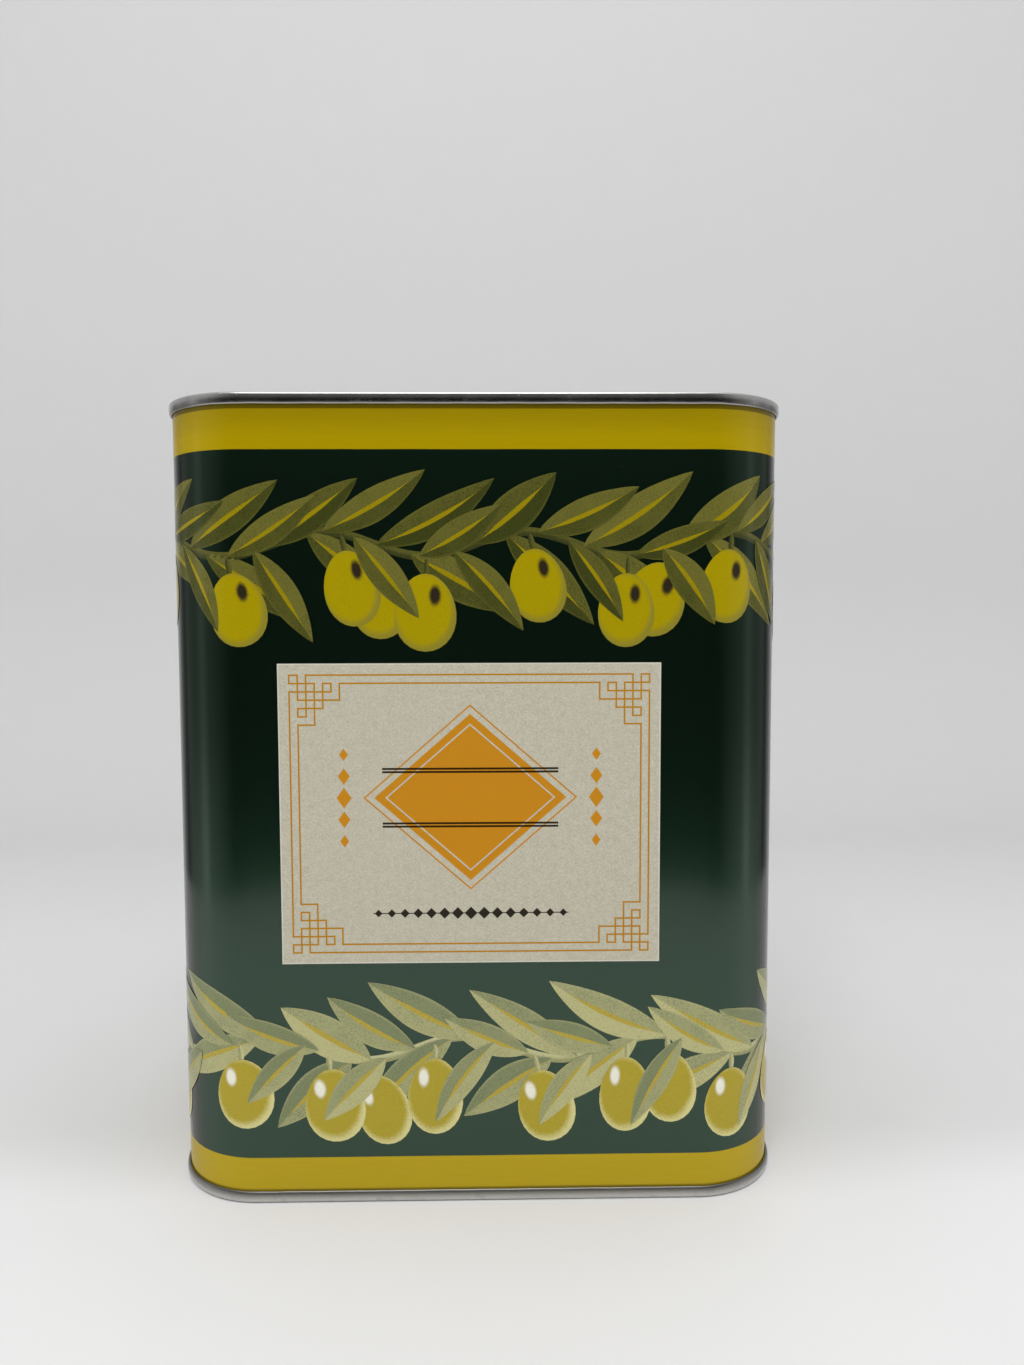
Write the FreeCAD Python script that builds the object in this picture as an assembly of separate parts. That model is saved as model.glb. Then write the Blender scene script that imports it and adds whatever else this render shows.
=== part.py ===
import FreeCAD, Part
import math
import os

from FreeCAD import Vector

# Five-litre rectangular oil tin: a welded tinplate body, two double-seamed ends, a paper label on the
# front, a folding wire handle and a pull-up plastic spout with a screw cap.
# Millimetres, +Z up, the label faces -Y, the origin is the middle of the base on the surface it stands on.

# Tin body
body_width = 186.0
body_depth = 128.0
overall_height = 239.5
corner_radius = 26.5
sheet = 0.3
weld_width = 1.2
weld_rise = 0.1

# Double seams that join the ends to the body
seam_height = 3.4
seam_gap = 0.04
hook_tip_gap = 0.15
crown_round_share = 0.66
compound_height = 0.5
compound_gap = 0.02

# Pressed ends
countersink_depth = 6.6
groove_width = 3.0
panel_rise = 1.6
panel_slope_run = 1.5
panel_land = 2.0
end_bend = 1.0
base_step_inset = 12.0
base_step_run = 2.0
base_step_height = 1.2

# Paper label
label_width = 111.7
label_height = 89.0
label_thickness = 0.12
label_centre_x = -1.7
label_centre_z = 117.5

# Pull-up spout
spout_bore_radius = 8.6
spout_wall = 1.2
spout_neck_length = 12.5
spout_travel = 24.0
shoulder_thickness = 1.2
lip_round = 0.4
stop_bead_height = 2.0
stop_bead_catch = 0.6
stop_bead_gap = 1.0
slide_clearance = 0.3
seat_gap = 0.2

# Thread between the spout and its cap
thread_pitch = 3.0
thread_turns = 1.5
thread_height = 0.7
thread_clearance = 0.3
thread_start = 5.5
thread_root_width = 1.6
thread_crest_width = 0.8
cap_thread_root_width = 1.2
cap_thread_crest_width = 0.6
thread_sink = 0.15

# Screw cap, its liner and the tamper ring
cap_wall = 1.5
cap_top_thickness = 1.4
cap_edge_round = 1.0
cap_rib_height = 0.5
cap_rib_count = 44
cap_rib_foot_share = 0.62
cap_rib_crest_share = 0.30
liner_thickness = 1.0
liner_gap = 0.1
liner_side_gap = 0.2
tamper_ring_height = 2.0
tamper_ring_gap = 0.3
tamper_ring_wall = 1.6
retaining_bead_height = 0.5
retaining_bead_catch = 0.3

# Collar that holds the spout in the top
well_clearance = 1.5
well_depth = 10.5
collar_wall = 1.4
collar_floor = 1.5
collar_clearance = 0.3
collar_flange_thickness = 1.5
guide_length = 14.0
guide_wall = 1.2
gasket_thickness = 0.8
gasket_side_gap = 0.2

# Tinplate neck of the top end, and the ring crimped over it
tin_neck_height = 3.6
tin_neck_bend = 1.0
tin_neck_land = 0.6
curl_bend = 0.8
curl_drop = 0.9
crimp_gap = 0.04
crimp_top_lip = 1.5
crimp_low_lip = 1.0
crimp_edge_gap = 1.2

# Folding wire handle
handle_span = 90.0
handle_reach = 40.0
handle_spout_gap = 6.5
handle_wire_radius = 2.0
handle_corner_bend = 8.0
handle_pivot_bend = 4.0
handle_rest_gap = 0.3
pin_clearance = 0.06
grip_radius = 5.5
grip_bore_clearance = 0.05
grip_end_gap = 1.0
grip_end_round = 2.0
lug_width = 9.0
lug_strap = 0.8
lug_foot_length = 16.0
lug_bend_gap = 0.6
lug_stub_overhang = 1.5

# Shortest edge kept in a section
shortest_edge = 0.001

Z_AXIS = Vector(0, 0, 1)
X_AXIS = Vector(1, 0, 0)
QUARTER_TURN = 90.0
FULL_TURN = 360.0

# Seam layers, measured outwards from the body's outer face
wall_line = -sheet / 2
chuck_line = -1.5 * sheet - seam_gap
cover_hook_line = seam_gap + sheet / 2
body_hook_line = 2 * seam_gap + 1.5 * sheet
seam_outer_line = 3 * seam_gap + 2.5 * sheet
fold_bend = seam_gap + sheet
crown_bend = crown_round_share * (seam_outer_line - chuck_line) / 2

# Seam heights, measured from the seam's crown towards the middle of the tin
crown_depth = sheet / 2
body_fold_depth = 1.5 * sheet + seam_gap
body_fold_centre_depth = body_fold_depth + fold_bend
cover_fold_depth = seam_height - sheet / 2
body_hook_tip_depth = cover_fold_depth - fold_bend - hook_tip_gap
compound_top_depth = body_fold_centre_depth + compound_gap
compound_low_depth = compound_top_depth + compound_height
cover_hook_tip_depth = compound_low_depth + compound_gap

# Panel of an end
panel_depth = countersink_depth - panel_rise
groove_line = chuck_line - groove_width
panel_edge_line = groove_line - panel_slope_run
plate_line = panel_edge_line - panel_land
panel_top = overall_height - panel_depth + sheet / 2
panel_underside = panel_top - sheet

# Spout radii, worked outwards from the bore
spout_neck_radius = spout_bore_radius + spout_wall
thread_crest_radius = spout_neck_radius + thread_height
cap_inner_radius = thread_crest_radius + thread_clearance
cap_thread_crest_radius = spout_neck_radius + thread_clearance
cap_radius = cap_inner_radius + cap_wall
cap_rib_radius = cap_radius + cap_rib_height
lip_radius = spout_neck_radius + slide_clearance
stop_bead_radius = lip_radius + stop_bead_catch
guide_radius = stop_bead_radius + slide_clearance
tamper_inner_radius = spout_neck_radius + thread_clearance
retaining_bead_radius = tamper_inner_radius + retaining_bead_catch
well_radius = cap_rib_radius + well_clearance
collar_radius = well_radius + collar_wall
tin_neck_line = collar_radius + collar_clearance + sheet / 2
curl_line = tin_neck_line + 2 * curl_bend
flange_radius = curl_line + sheet / 2
crimp_line = flange_radius + crimp_gap + sheet / 2
crimp_radius = crimp_line + sheet / 2
crimp_bend = crimp_gap + sheet / 2
spout_x = body_width / 2 + panel_edge_line - crimp_edge_gap - crimp_radius

# Spout heights
tin_neck_top = panel_top + tin_neck_height
gasket_top = tin_neck_top + gasket_thickness
flange_top = gasket_top + collar_flange_thickness
well_floor = flange_top - well_depth
collar_floor_underside = well_floor - collar_floor
guide_bottom = collar_floor_underside - guide_length
curl_tip = tin_neck_top - sheet / 2 - curl_bend - curl_drop
shoulder_bottom = well_floor + seat_gap
shoulder_top = shoulder_bottom + shoulder_thickness
spout_lip = shoulder_top + spout_neck_length
stop_bead_top = collar_floor_underside - spout_travel - stop_bead_gap
spout_bottom = stop_bead_top - stop_bead_height
tamper_bottom = shoulder_top + seat_gap
tamper_top = tamper_bottom + tamper_ring_height
retaining_bead_bottom = tamper_top + seat_gap
cap_bottom = tamper_top + tamper_ring_gap
liner_bottom = spout_lip + liner_gap
liner_top = liner_bottom + liner_thickness
cap_ceiling = liner_top + liner_gap
cap_top = cap_ceiling + cap_top_thickness
spout_thread_z = shoulder_top + thread_start
cap_thread_z = spout_thread_z - thread_pitch / 2

# Handle places
pivot_z = panel_top + grip_radius + handle_rest_gap
arm_right_x = spout_x - crimp_radius - handle_spout_gap - handle_wire_radius
arm_left_x = arm_right_x - handle_span
lug_offset = handle_pivot_bend + lug_bend_gap + lug_width / 2
stub_length = lug_offset + lug_width / 2 + lug_stub_overhang
eye_radius = handle_wire_radius + pin_clearance


def bent_run(points, bends, shift):
    """Path through 2-D corner points with rounded bends, moved to its left by shift.

    Straight stretches come out as pairs of points, bends as start, middle and end.
    """
    runs = []
    left = lambda d: Vector(-d.y, d.x, 0)
    headings = [(b - a).normalize() for a, b in zip(points, points[1:])]
    here = points[0] + left(headings[0]) * shift
    for corner, bend, before, after in zip(points[1:-1], bends, headings, headings[1:]):
        turn = math.atan2(before.cross(after).z, before.dot(after))
        side = math.copysign(1, turn)
        setback = bend * math.tan(abs(turn) / 2)
        centre = corner - before * setback + left(before) * (side * bend)
        first = corner - before * setback + left(before) * shift
        last = corner + after * setback + left(after) * shift
        middle = centre + (corner - centre).normalize() * (bend - side * shift)
        runs.append((here, first))
        runs.append((first, middle, last))
        here = last
    runs.append((here, points[-1] + left(headings[-1]) * shift))
    return runs


def run_edges(runs, place):
    """Edges of a run, with each 2-D point put into space by place."""
    edges = []
    for run in runs:
        spots = [place(p.x, p.y) for p in run]
        if len(spots) == 3:
            edges.append(Part.Arc(*spots).toShape())
        elif spots[0].distanceToPoint(spots[1]) > shortest_edge:
            edges.append(Part.LineSegment(*spots).toShape())
    return edges


def sheet_face(points, bends, place):
    """Section of bent tinplate along a middle line."""
    corners = [Vector(u, v, 0) for u, v in points]
    near = bent_run(corners, bends, sheet / 2)
    far = bent_run(corners, bends, -sheet / 2)
    ends = [(near[0][0], far[0][0]), (near[-1][-1], far[-1][-1])]
    edges = run_edges(near + far + ends, place)
    return Part.Face(Part.Wire(Part.__sortEdges__(edges)))


def outline_face(points, place):
    """Straight-edged section through 2-D points."""
    spots = [place(u, v) for u, v in points]
    return Part.Face(Part.makePolygon(spots + spots[:1]))


def one_solid(shape):
    """The single solid that a union gives, with split faces merged."""
    return shape.removeSplitter().Solids[0]


def around_tin(make_face):
    """Solid of a section carried round the tin: along its four sides and turned through its corners.

    The section's first coordinate is measured outwards from the body's outer face, its second is height.
    """
    reach_x = body_width / 2 - corner_radius
    reach_y = body_depth / 2 - corner_radius
    corners = [(reach_x, -reach_y), (reach_x, reach_y), (-reach_x, reach_y), (-reach_x, -reach_y)]
    solids = []
    for number, (x, y) in enumerate(corners):
        centre = Vector(x, y, 0)
        face = make_face(lambda u, v: centre - Vector(0, corner_radius + u, -v))
        face.rotate(centre, Z_AXIS, QUARTER_TURN * number)
        side = Vector(-2 * reach_x, 0, 0) if number % 2 == 0 else Vector(0, -2 * reach_y, 0)
        if number >= 2:
            side = side * -1
        solids.append(face.revolve(centre, Z_AXIS, QUARTER_TURN))
        solids.append(face.extrude(side))
    return one_solid(solids[0].multiFuse(solids[1:]))


def at_spout(u, v):
    """Point of a turned section beside the spout's axis: radius u, height v."""
    return Vector(spout_x + u, 0, v)


def turned(face):
    """Solid of a section turned about the spout's axis."""
    return face.revolve(Vector(spout_x, 0, 0), Z_AXIS, FULL_TURN)


def disc(radius, low, high):
    """Upright cylinder on the spout's axis between two heights."""
    return Part.makeCylinder(radius, high - low, Vector(spout_x, 0, low))


def sleeve(outer, inner, low, high):
    """Upright tube on the spout's axis between two heights."""
    return disc(outer, low, high).cut(disc(inner, low, high))


def thread_ridge(root_radius, crest_radius, root_width, crest_width, start):
    """Helical ridge on the spout's axis, sunk a little into the wall that carries it."""
    sink = math.copysign(thread_sink, crest_radius - root_radius)
    root = root_radius - sink
    section = [(root, -root_width / 2), (crest_radius, -crest_width / 2),
               (crest_radius, crest_width / 2), (root, root_width / 2)]
    spots = [Vector(u, 0, v) for u, v in section]
    helix = Part.makeHelix(thread_pitch, thread_pitch * thread_turns, crest_radius)
    ridge = Part.Wire(helix.Edges).makePipeShell([Part.makePolygon(spots + spots[:1])], True, True)
    ridge.translate(Vector(spout_x, 0, start))
    return ridge


def rounded_plate(line, low, thickness):
    """Flat plate with the tin's outline moved outwards by line."""
    half_x = body_width / 2 + line
    half_y = body_depth / 2 + line
    box = Part.makeBox(2 * half_x, 2 * half_y, thickness, Vector(-half_x, -half_y, low))
    uprights = [e for e in box.Edges if abs(e.tangentAt(e.FirstParameter).z) > 0.5]
    return box.makeFillet(corner_radius + line, uprights)


def from_top(depth):
    """Height of a point of the top seam or end, given its depth below the crown."""
    return overall_height - depth


def from_base(depth):
    """Height of a point of the bottom seam or end, given its depth above the crown."""
    return depth


def body_shell():
    """Rolled and welded sleeve, flanged at both ends into the hooks that the seams hold."""
    hook = [(body_hook_line, body_hook_tip_depth), (body_hook_line, body_fold_depth),
            (wall_line, body_fold_depth)]
    path = hook + [(u, overall_height - v) for u, v in reversed(hook)]
    shell = around_tin(lambda place: sheet_face(path, [fold_bend] * 4, place))
    weld_length = overall_height - 2 * seam_height
    weld = Part.makeBox(weld_width, sheet + weld_rise, weld_length,
                        Vector(-weld_width / 2, body_depth / 2 - sheet, seam_height))
    return one_solid(shell.fuse(weld))


def end_ring(height_of, plate_path):
    """Rim of an end: cover hook, seam crown, chuck wall and countersink, out to the flat plate."""
    path = [(cover_hook_line, cover_hook_tip_depth), (cover_hook_line, cover_fold_depth),
            (seam_outer_line, cover_fold_depth), (seam_outer_line, crown_depth),
            (chuck_line, crown_depth), (chuck_line, countersink_depth),
            (groove_line, countersink_depth), (panel_edge_line, panel_depth)] + plate_path
    seam_bends = [fold_bend] * 2 + [crown_bend] * 2
    panel_bends = [end_bend] * (len(path) - 2 - len(seam_bends))
    points = [(u, height_of(v)) for u, v in path]
    return around_tin(lambda place: sheet_face(points, seam_bends + panel_bends, place))


def top_end():
    """Top end with the drawn and curled neck that carries the spout."""
    ring = end_ring(from_top, [(plate_line, panel_depth)])
    neck_foot = tin_neck_line + tin_neck_bend + tin_neck_land
    panel_middle = panel_top - sheet / 2
    crown = tin_neck_top - sheet / 2
    neck = turned(sheet_face(
        [(neck_foot, panel_middle), (tin_neck_line, panel_middle), (tin_neck_line, crown),
         (curl_line, crown), (curl_line, curl_tip)],
        [tin_neck_bend, curl_bend, curl_bend], at_spout))
    plate = rounded_plate(plate_line, panel_underside, sheet)
    plate = plate.cut(disc(neck_foot, panel_underside, panel_top))
    return one_solid(ring.multiFuse([plate, neck]))


def bottom_end():
    """Bottom end with a stepped panel, on whose seam the tin stands."""
    step_line = panel_edge_line - base_step_inset
    low_line = step_line - base_step_run
    base_depth = panel_depth + base_step_height
    plate_edge = low_line - panel_land
    ring = end_ring(from_base, [(step_line, panel_depth), (low_line, base_depth), (plate_edge, base_depth)])
    plate = rounded_plate(plate_edge, base_depth - sheet / 2, sheet)
    return one_solid(ring.fuse(plate))


def seam_compound(height_of):
    """Bead of sealing compound under the fold of the body hook."""
    inner = compound_gap
    outer = 2 * seam_gap + sheet - compound_gap
    low, high = height_of(compound_low_depth), height_of(compound_top_depth)
    section = [(inner, low), (outer, low), (outer, high), (inner, high)]
    return around_tin(lambda place: outline_face(section, place))


def front_label():
    """Paper label glued to the front."""
    return Part.makeBox(label_width, label_thickness, label_height,
                        Vector(label_centre_x - label_width / 2, -body_depth / 2 - label_thickness,
                               label_centre_z - label_height / 2))


def spout_collar():
    """Flanged plastic well with a guide below it for the sliding spout."""
    section = [(lip_radius, collar_floor_underside), (guide_radius, collar_floor_underside),
               (guide_radius, guide_bottom), (guide_radius + guide_wall, guide_bottom),
               (guide_radius + guide_wall, collar_floor_underside),
               (collar_radius, collar_floor_underside), (collar_radius, gasket_top),
               (flange_radius, gasket_top), (flange_radius, flange_top), (well_radius, flange_top),
               (well_radius, well_floor), (lip_radius, well_floor)]
    return turned(outline_face(section, at_spout))


def collar_gasket():
    """Flat seal between the curled neck and the collar's flange."""
    return sleeve(flange_radius, collar_radius + gasket_side_gap, tin_neck_top, gasket_top)


def crimp_ring():
    """Tinplate ring folded over the flange and under the neck's curl."""
    low = curl_tip - crimp_gap - sheet / 2
    high = flange_top + crimp_gap + sheet / 2
    path = [(crimp_line - crimp_low_lip, low), (crimp_line, low), (crimp_line, high),
            (crimp_line - crimp_top_lip, high)]
    return turned(sheet_face(path, [crimp_bend] * 2, at_spout))


def spout_tube():
    """Sliding spout: stop bead, tube, shoulder, threaded neck and rounded lip."""
    section = [(spout_bore_radius, spout_bottom), (stop_bead_radius, spout_bottom),
               (stop_bead_radius, stop_bead_top), (spout_neck_radius, stop_bead_top),
               (spout_neck_radius, shoulder_bottom), (cap_radius, shoulder_bottom),
               (cap_radius, shoulder_top), (spout_neck_radius, shoulder_top),
               (spout_neck_radius, retaining_bead_bottom), (retaining_bead_radius, retaining_bead_bottom),
               (retaining_bead_radius, retaining_bead_bottom + retaining_bead_height),
               (spout_neck_radius, retaining_bead_bottom + retaining_bead_height),
               (spout_neck_radius, spout_lip - lip_round), (spout_neck_radius - lip_round, spout_lip),
               (spout_bore_radius + lip_round, spout_lip), (spout_bore_radius, spout_lip - lip_round)]
    ridge = thread_ridge(spout_neck_radius, thread_crest_radius, thread_root_width,
                         thread_crest_width, spout_thread_z)
    return one_solid(turned(outline_face(section, at_spout)).fuse(ridge))


def tamper_ring():
    """Ring that breaks off the cap and stays under the neck's bead."""
    return sleeve(tamper_inner_radius + tamper_ring_wall, tamper_inner_radius, tamper_bottom, tamper_top)


def cap_liner():
    """Soft disc that seals on the spout's lip."""
    return disc(cap_inner_radius - liner_side_gap, liner_bottom, liner_top)


def ribbed_outline():
    """Ring of points round the cap: each rib rises from its foot to its crest and falls again."""
    step = 2 * math.pi / cap_rib_count
    corners = [(cap_radius, -cap_rib_foot_share), (cap_rib_radius, -cap_rib_crest_share),
               (cap_rib_radius, cap_rib_crest_share), (cap_radius, cap_rib_foot_share)]
    points = []
    for rib in range(cap_rib_count):
        for radius, share in corners:
            angle = step * (rib + share / 2)
            points.append(Vector(spout_x + radius * math.cos(angle), radius * math.sin(angle), cap_bottom))
    return points


def screw_cap():
    """Ribbed cap with a rounded top edge and an inner thread."""
    spots = ribbed_outline()
    ribbed = Part.Face(Part.makePolygon(spots + spots[:1])).extrude(Vector(0, 0, cap_top - cap_bottom))
    envelope = disc(cap_rib_radius, cap_bottom, cap_top)
    top_edge = [e for e in envelope.Edges if abs(e.BoundBox.ZMin - cap_top) < shortest_edge]
    envelope = envelope.makeFillet(cap_edge_round, top_edge)
    hollow = disc(cap_inner_radius, cap_bottom, cap_ceiling)
    ridge = thread_ridge(cap_inner_radius, cap_thread_crest_radius, cap_thread_root_width,
                         cap_thread_crest_width, cap_thread_z)
    return one_solid(ribbed.common(envelope).cut(hollow).fuse(ridge))


def handle_lug(x):
    """Steel strap folded round the handle's pivot, with both ends welded to the panel."""
    start = x - lug_width / 2
    axis_point = Vector(start, 0, pivot_z)
    eye = Part.makeCylinder(eye_radius + lug_strap, lug_width, axis_point, X_AXIS)
    web = Part.makeBox(lug_width, 2 * lug_strap, pivot_z - panel_top, Vector(start, -lug_strap, panel_top))
    foot = Part.makeBox(lug_width, lug_foot_length, lug_strap, Vector(start, -lug_foot_length / 2, panel_top))
    bore = Part.makeCylinder(eye_radius, lug_width, axis_point, X_AXIS)
    return one_solid(eye.multiFuse([web, foot]).cut(bore))


def handle_wire():
    """Bail of round wire, folded flat towards the back, with its ends turned in through the lugs."""
    corners = [Vector(arm_left_x + stub_length, 0, 0), Vector(arm_left_x, 0, 0),
               Vector(arm_left_x, handle_reach, 0), Vector(arm_right_x, handle_reach, 0),
               Vector(arm_right_x, 0, 0), Vector(arm_right_x - stub_length, 0, 0)]
    bends = [handle_pivot_bend, handle_corner_bend, handle_corner_bend, handle_pivot_bend]
    edges = run_edges(bent_run(corners, bends, 0), lambda x, y: Vector(x, y, pivot_z))
    start = Vector(corners[0].x, 0, pivot_z)
    rim = Part.Wire(Part.makeCircle(handle_wire_radius, start, X_AXIS))
    return Part.Wire(edges).makePipeShell([rim], True, False)


def handle_grip():
    """Plastic sleeve on the straight of the bail, rounded at both ends."""
    start = arm_left_x + handle_corner_bend + grip_end_gap
    length = handle_span - 2 * (handle_corner_bend + grip_end_gap)
    axis_point = Vector(start, handle_reach, pivot_z)
    grip = Part.makeCylinder(grip_radius, length, axis_point, X_AXIS)
    rims = [e for e in grip.Edges if e.BoundBox.XLength < shortest_edge]
    grip = grip.makeFillet(grip_end_round, rims)
    bore = handle_wire_radius + grip_bore_clearance
    return grip.cut(Part.makeCylinder(bore, length, axis_point, X_AXIS))


pieces = {
    "body_shell": body_shell(),
    "top_end": top_end(),
    "bottom_end": bottom_end(),
    "top_seam_compound": seam_compound(from_top),
    "bottom_seam_compound": seam_compound(from_base),
    "front_label": front_label(),
    "spout_collar": spout_collar(),
    "collar_gasket": collar_gasket(),
    "crimp_ring": crimp_ring(),
    "spout_tube": spout_tube(),
    "tamper_ring": tamper_ring(),
    "cap_liner": cap_liner(),
    "screw_cap": screw_cap(),
    "left_handle_lug": handle_lug(arm_left_x + lug_offset),
    "right_handle_lug": handle_lug(arm_right_x - lug_offset),
    "handle_wire": handle_wire(),
    "handle_grip": handle_grip(),
}

os.makedirs("parts", exist_ok=True)
for name, shape in pieces.items():
    shape.exportStep(f"parts/{name}.step")
    print(f"{name}: {len(shape.Solids)} solid, valid {shape.isValid()}, {shape.Volume:.1f} mm3")
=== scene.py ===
import math

import bmesh
import bpy
import numpy as np
from mathutils import Matrix, Vector


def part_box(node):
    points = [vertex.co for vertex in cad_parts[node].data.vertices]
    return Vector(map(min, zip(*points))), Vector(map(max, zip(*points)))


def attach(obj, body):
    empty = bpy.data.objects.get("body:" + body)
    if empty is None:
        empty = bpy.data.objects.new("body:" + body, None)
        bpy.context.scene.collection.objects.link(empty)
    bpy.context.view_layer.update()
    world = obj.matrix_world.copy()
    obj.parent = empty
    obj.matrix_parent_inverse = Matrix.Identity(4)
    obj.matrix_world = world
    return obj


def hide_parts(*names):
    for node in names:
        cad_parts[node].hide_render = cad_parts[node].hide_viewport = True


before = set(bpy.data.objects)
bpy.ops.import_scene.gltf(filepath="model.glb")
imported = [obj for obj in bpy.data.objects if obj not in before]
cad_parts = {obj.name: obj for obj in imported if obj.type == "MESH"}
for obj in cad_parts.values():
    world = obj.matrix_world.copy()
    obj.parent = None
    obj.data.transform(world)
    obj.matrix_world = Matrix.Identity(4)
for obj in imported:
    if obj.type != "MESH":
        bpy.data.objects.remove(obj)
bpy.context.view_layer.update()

# Looks of a five-litre oil tin: printed tinplate body, bare double-seamed ends, a paper label, a folding
# wire handle and a pull-up plastic spout. Sizes are in millimetres unless a name says otherwise.
MM = 0.001

# Tin body
body_width = 186.0
body_depth = 128.0
overall_height = 239.5
corner_radius = 26.5
sheet = 0.3
weld_width = 1.2
weld_rise = 0.1
weld_margin = 4.0
weld_shares = [0.8, 1.0, 1.25]
swell = 0.12

# Double seams
seam_height = 3.4
seam_gap = 0.04
hook_tip_gap = 0.9
crown_outer_bend = 0.55
crown_inner_bend = 0.449
hem_barrel = 0.42
crown_barrel = 0.06
seam_waver = 0.045
waver_reach = 0.5
compound_height = 0.5
compound_gap = 0.02
compound_round = 0.06

# Pressed ends
countersink_depth = 6.6
groove_width = 3.0
panel_rise = 1.6
panel_slope_run = 1.5
panel_land = 0.7
end_bend = 1.0
base_step_inset = 12.0
base_step_run = 2.0
base_step_height = 1.2

# Spout, collar and cap radii
bore_radius = 8.6
neck_radius = 9.8
lip_bore_radius = 10.1
bead_radius = 10.4
stop_radius = 10.7
cap_bore_radius = 10.8
guide_radius = 11.0
tamper_radius = 11.7
guide_outer_radius = 12.2
cap_radius = 12.3
well_radius = 14.3
collar_radius = 15.7
tin_neck_radius = 16.15
curl_radius = 17.75
flange_radius = 17.9
crimp_radius = 18.09
neck_foot_radius = 17.75

# Spout, collar and cap heights
spout_bottom = 201.55
stop_top = 203.55
guide_bottom = 214.55
floor_underside = 228.55
well_floor = 230.05
shoulder_bottom = 230.25
shoulder_top = 231.45
tamper_bottom = 231.65
tamper_top = 233.65
bead_bottom = 233.85
bead_top = 234.35
cap_bottom = 233.95
curl_tip = 236.4
tin_neck_top = 238.25
gasket_top = 239.05
flange_top = 240.55
spout_lip = 243.95
liner_bottom = 244.05
liner_top = 245.05
cap_ceiling = 245.15
cap_top = 246.55
gasket_bore_radius = 15.9
liner_radius = 10.6
crimp_gap = 0.04
crimp_top_lip = 1.5
crimp_low_lip = 1.0
neck_bends = [1.0, 0.8, 0.8]
plastic_round = 0.2
bead_round = 0.12
lip_round = 0.4
cap_bends = [0.3, 0.15, 0.3, 1.0]

# Threads and ribs
thread_pitch = 3.0
thread_turns = 1.5
thread_height = 0.7
thread_run_in = 1 / 16
spout_thread_start = 236.95
cap_thread_start = 235.45
spout_thread_widths = (1.6, 0.8)
cap_thread_widths = (1.2, 0.6)
rib_count = 44
rib_height = 0.5
rib_foot_share = 0.62
rib_crest_share = 0.30
rib_run_out = 0.6

# Handle
pivot_height = 240.45
handle_reach = 40.0
arm_left = -48.17
arm_right = 41.83
lug_places = {"left_handle_lug": -39.07, "right_handle_lug": 32.73}
stub_length = 15.1
wire_radius = 2.0
corner_bend = 8.0
pivot_bend = 4.0
grip_radius = 5.5
grip_bore = 2.05
grip_round = 2.0
grip_gap = 1.0
lug_width = 9.0
lug_strap = 0.8
lug_foot = 16.0
lug_gap = 0.02
eye_radius = 2.06
lug_throat = 1.1
eye_turn = (240, -60)
lug_bend = 0.6
grip_end_bend = 0.2
parting_height = 0.08
parting_width = 0.06

# Eased edges: distance from the wire's cut end with the share of its radius there, and places across a lug's
# strap in shares of its width with the share of its thickness there
wire_end = [(0.0, 0.0), (0.0, 0.8), (0.25, 0.95), (0.5, 1.0)]
lug_edges = [(-0.5, 0.8), (-0.47, 1.0), (0.47, 1.0), (0.5, 0.8)]

# Print on the body: bands at both ends and a border of olive sprigs beside each
top_band = 223.4
low_band = 13.6
top_border = (164.5, 221.5)
low_border = (15.5, 71.5)
sprig_seed = 7
scroll_count = 10
scroll_swing = 3.5
stem_share = 0.56
print_lift = 0.035
print_layer = 0.03
ink_film = 0.02

# Paper label, from the frame
label_low, label_high = [np.array(corner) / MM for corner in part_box("front_label")]
label_centre = (label_low + label_high) / 2
label_size = label_high - label_low
label_lift = 0.012
frame_margin = 3.36
frame_pitch = 2.43
frame_line = 0.5
medallion_rise = 5.0
medallion_half = (32.0, 28.0)
rule_rise = 7.6
rule_gap = 0.95
rule_half = 25.8
rule_edge = (0.34, 0.28)
side_studs = 37.0
side_stud_pitch = 6.4
side_stud_half = (3.1, 2.2)
side_stud_count = 2
chain_rise = -29.5
chain_pitch = 3.9
chain_stud_half = (1.9, 1.9)
chain_stud_count = 7
chain_reach = 29.0
thread_edge = (0.18, 0.12)
stud_taper = 0.4
solid_edge = (0.885, 0.875)
inset_share = 0.77
ring_share = 0.97
lozenge_line = 0.01
cut_edge = (0.5, 0.2)
corner_lift = 0.1
corner_lift_power = 12
label_grid = (57, 46)

# The spout's axis, from the frame
cap_low, cap_high = [np.array(corner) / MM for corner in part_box("screw_cap")]
spout_x = (cap_low[0] + cap_high[0]) / 2
panel_top = overall_height - countersink_depth + panel_rise + sheet / 2

# Steps of the grids
wall_step = 3.0
rim_step = 0.5
break_step = 0.5
spout_step = 0.35
cap_step = 0.3
liner_step = 1.5
wire_step = 4.0
grip_step = 3.0
corner_steps = 26
turn_steps = 96
spout_steps = 120
rib_steps = 8
wire_steps = 32
grip_steps = 64
eye_steps = 30
panel_rows = 12
base_rows = 9
bearing_steps = 4000
stem_steps = 640
drop_steps = 28
column_gap = 0.05
merge_distance = 1e-6

# Seam layers outwards from the body's face, and depths from the seam's crown
wall_line = -sheet / 2
chuck_line = -1.5 * sheet - seam_gap
cover_hook_line = seam_gap + sheet / 2
body_hook_line = 2 * seam_gap + 1.5 * sheet
seam_outer_line = 3 * seam_gap + 2.5 * sheet
fold_bend = seam_gap + sheet
body_fold_depth = 1.5 * sheet + seam_gap
cover_fold_depth = seam_height - sheet / 2
body_hook_tip = cover_fold_depth - fold_bend - hook_tip_gap
compound_top = body_fold_depth + fold_bend + compound_gap
compound_low = compound_top + compound_height
cover_hook_tip = compound_low + compound_gap
panel_depth = countersink_depth - panel_rise
groove_line = chuck_line - groove_width
panel_edge_line = groove_line - panel_slope_run


def unit(vectors):
    """Vectors of length one along the last axis."""
    return vectors / np.linalg.norm(vectors, axis=-1, keepdims=True)


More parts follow.
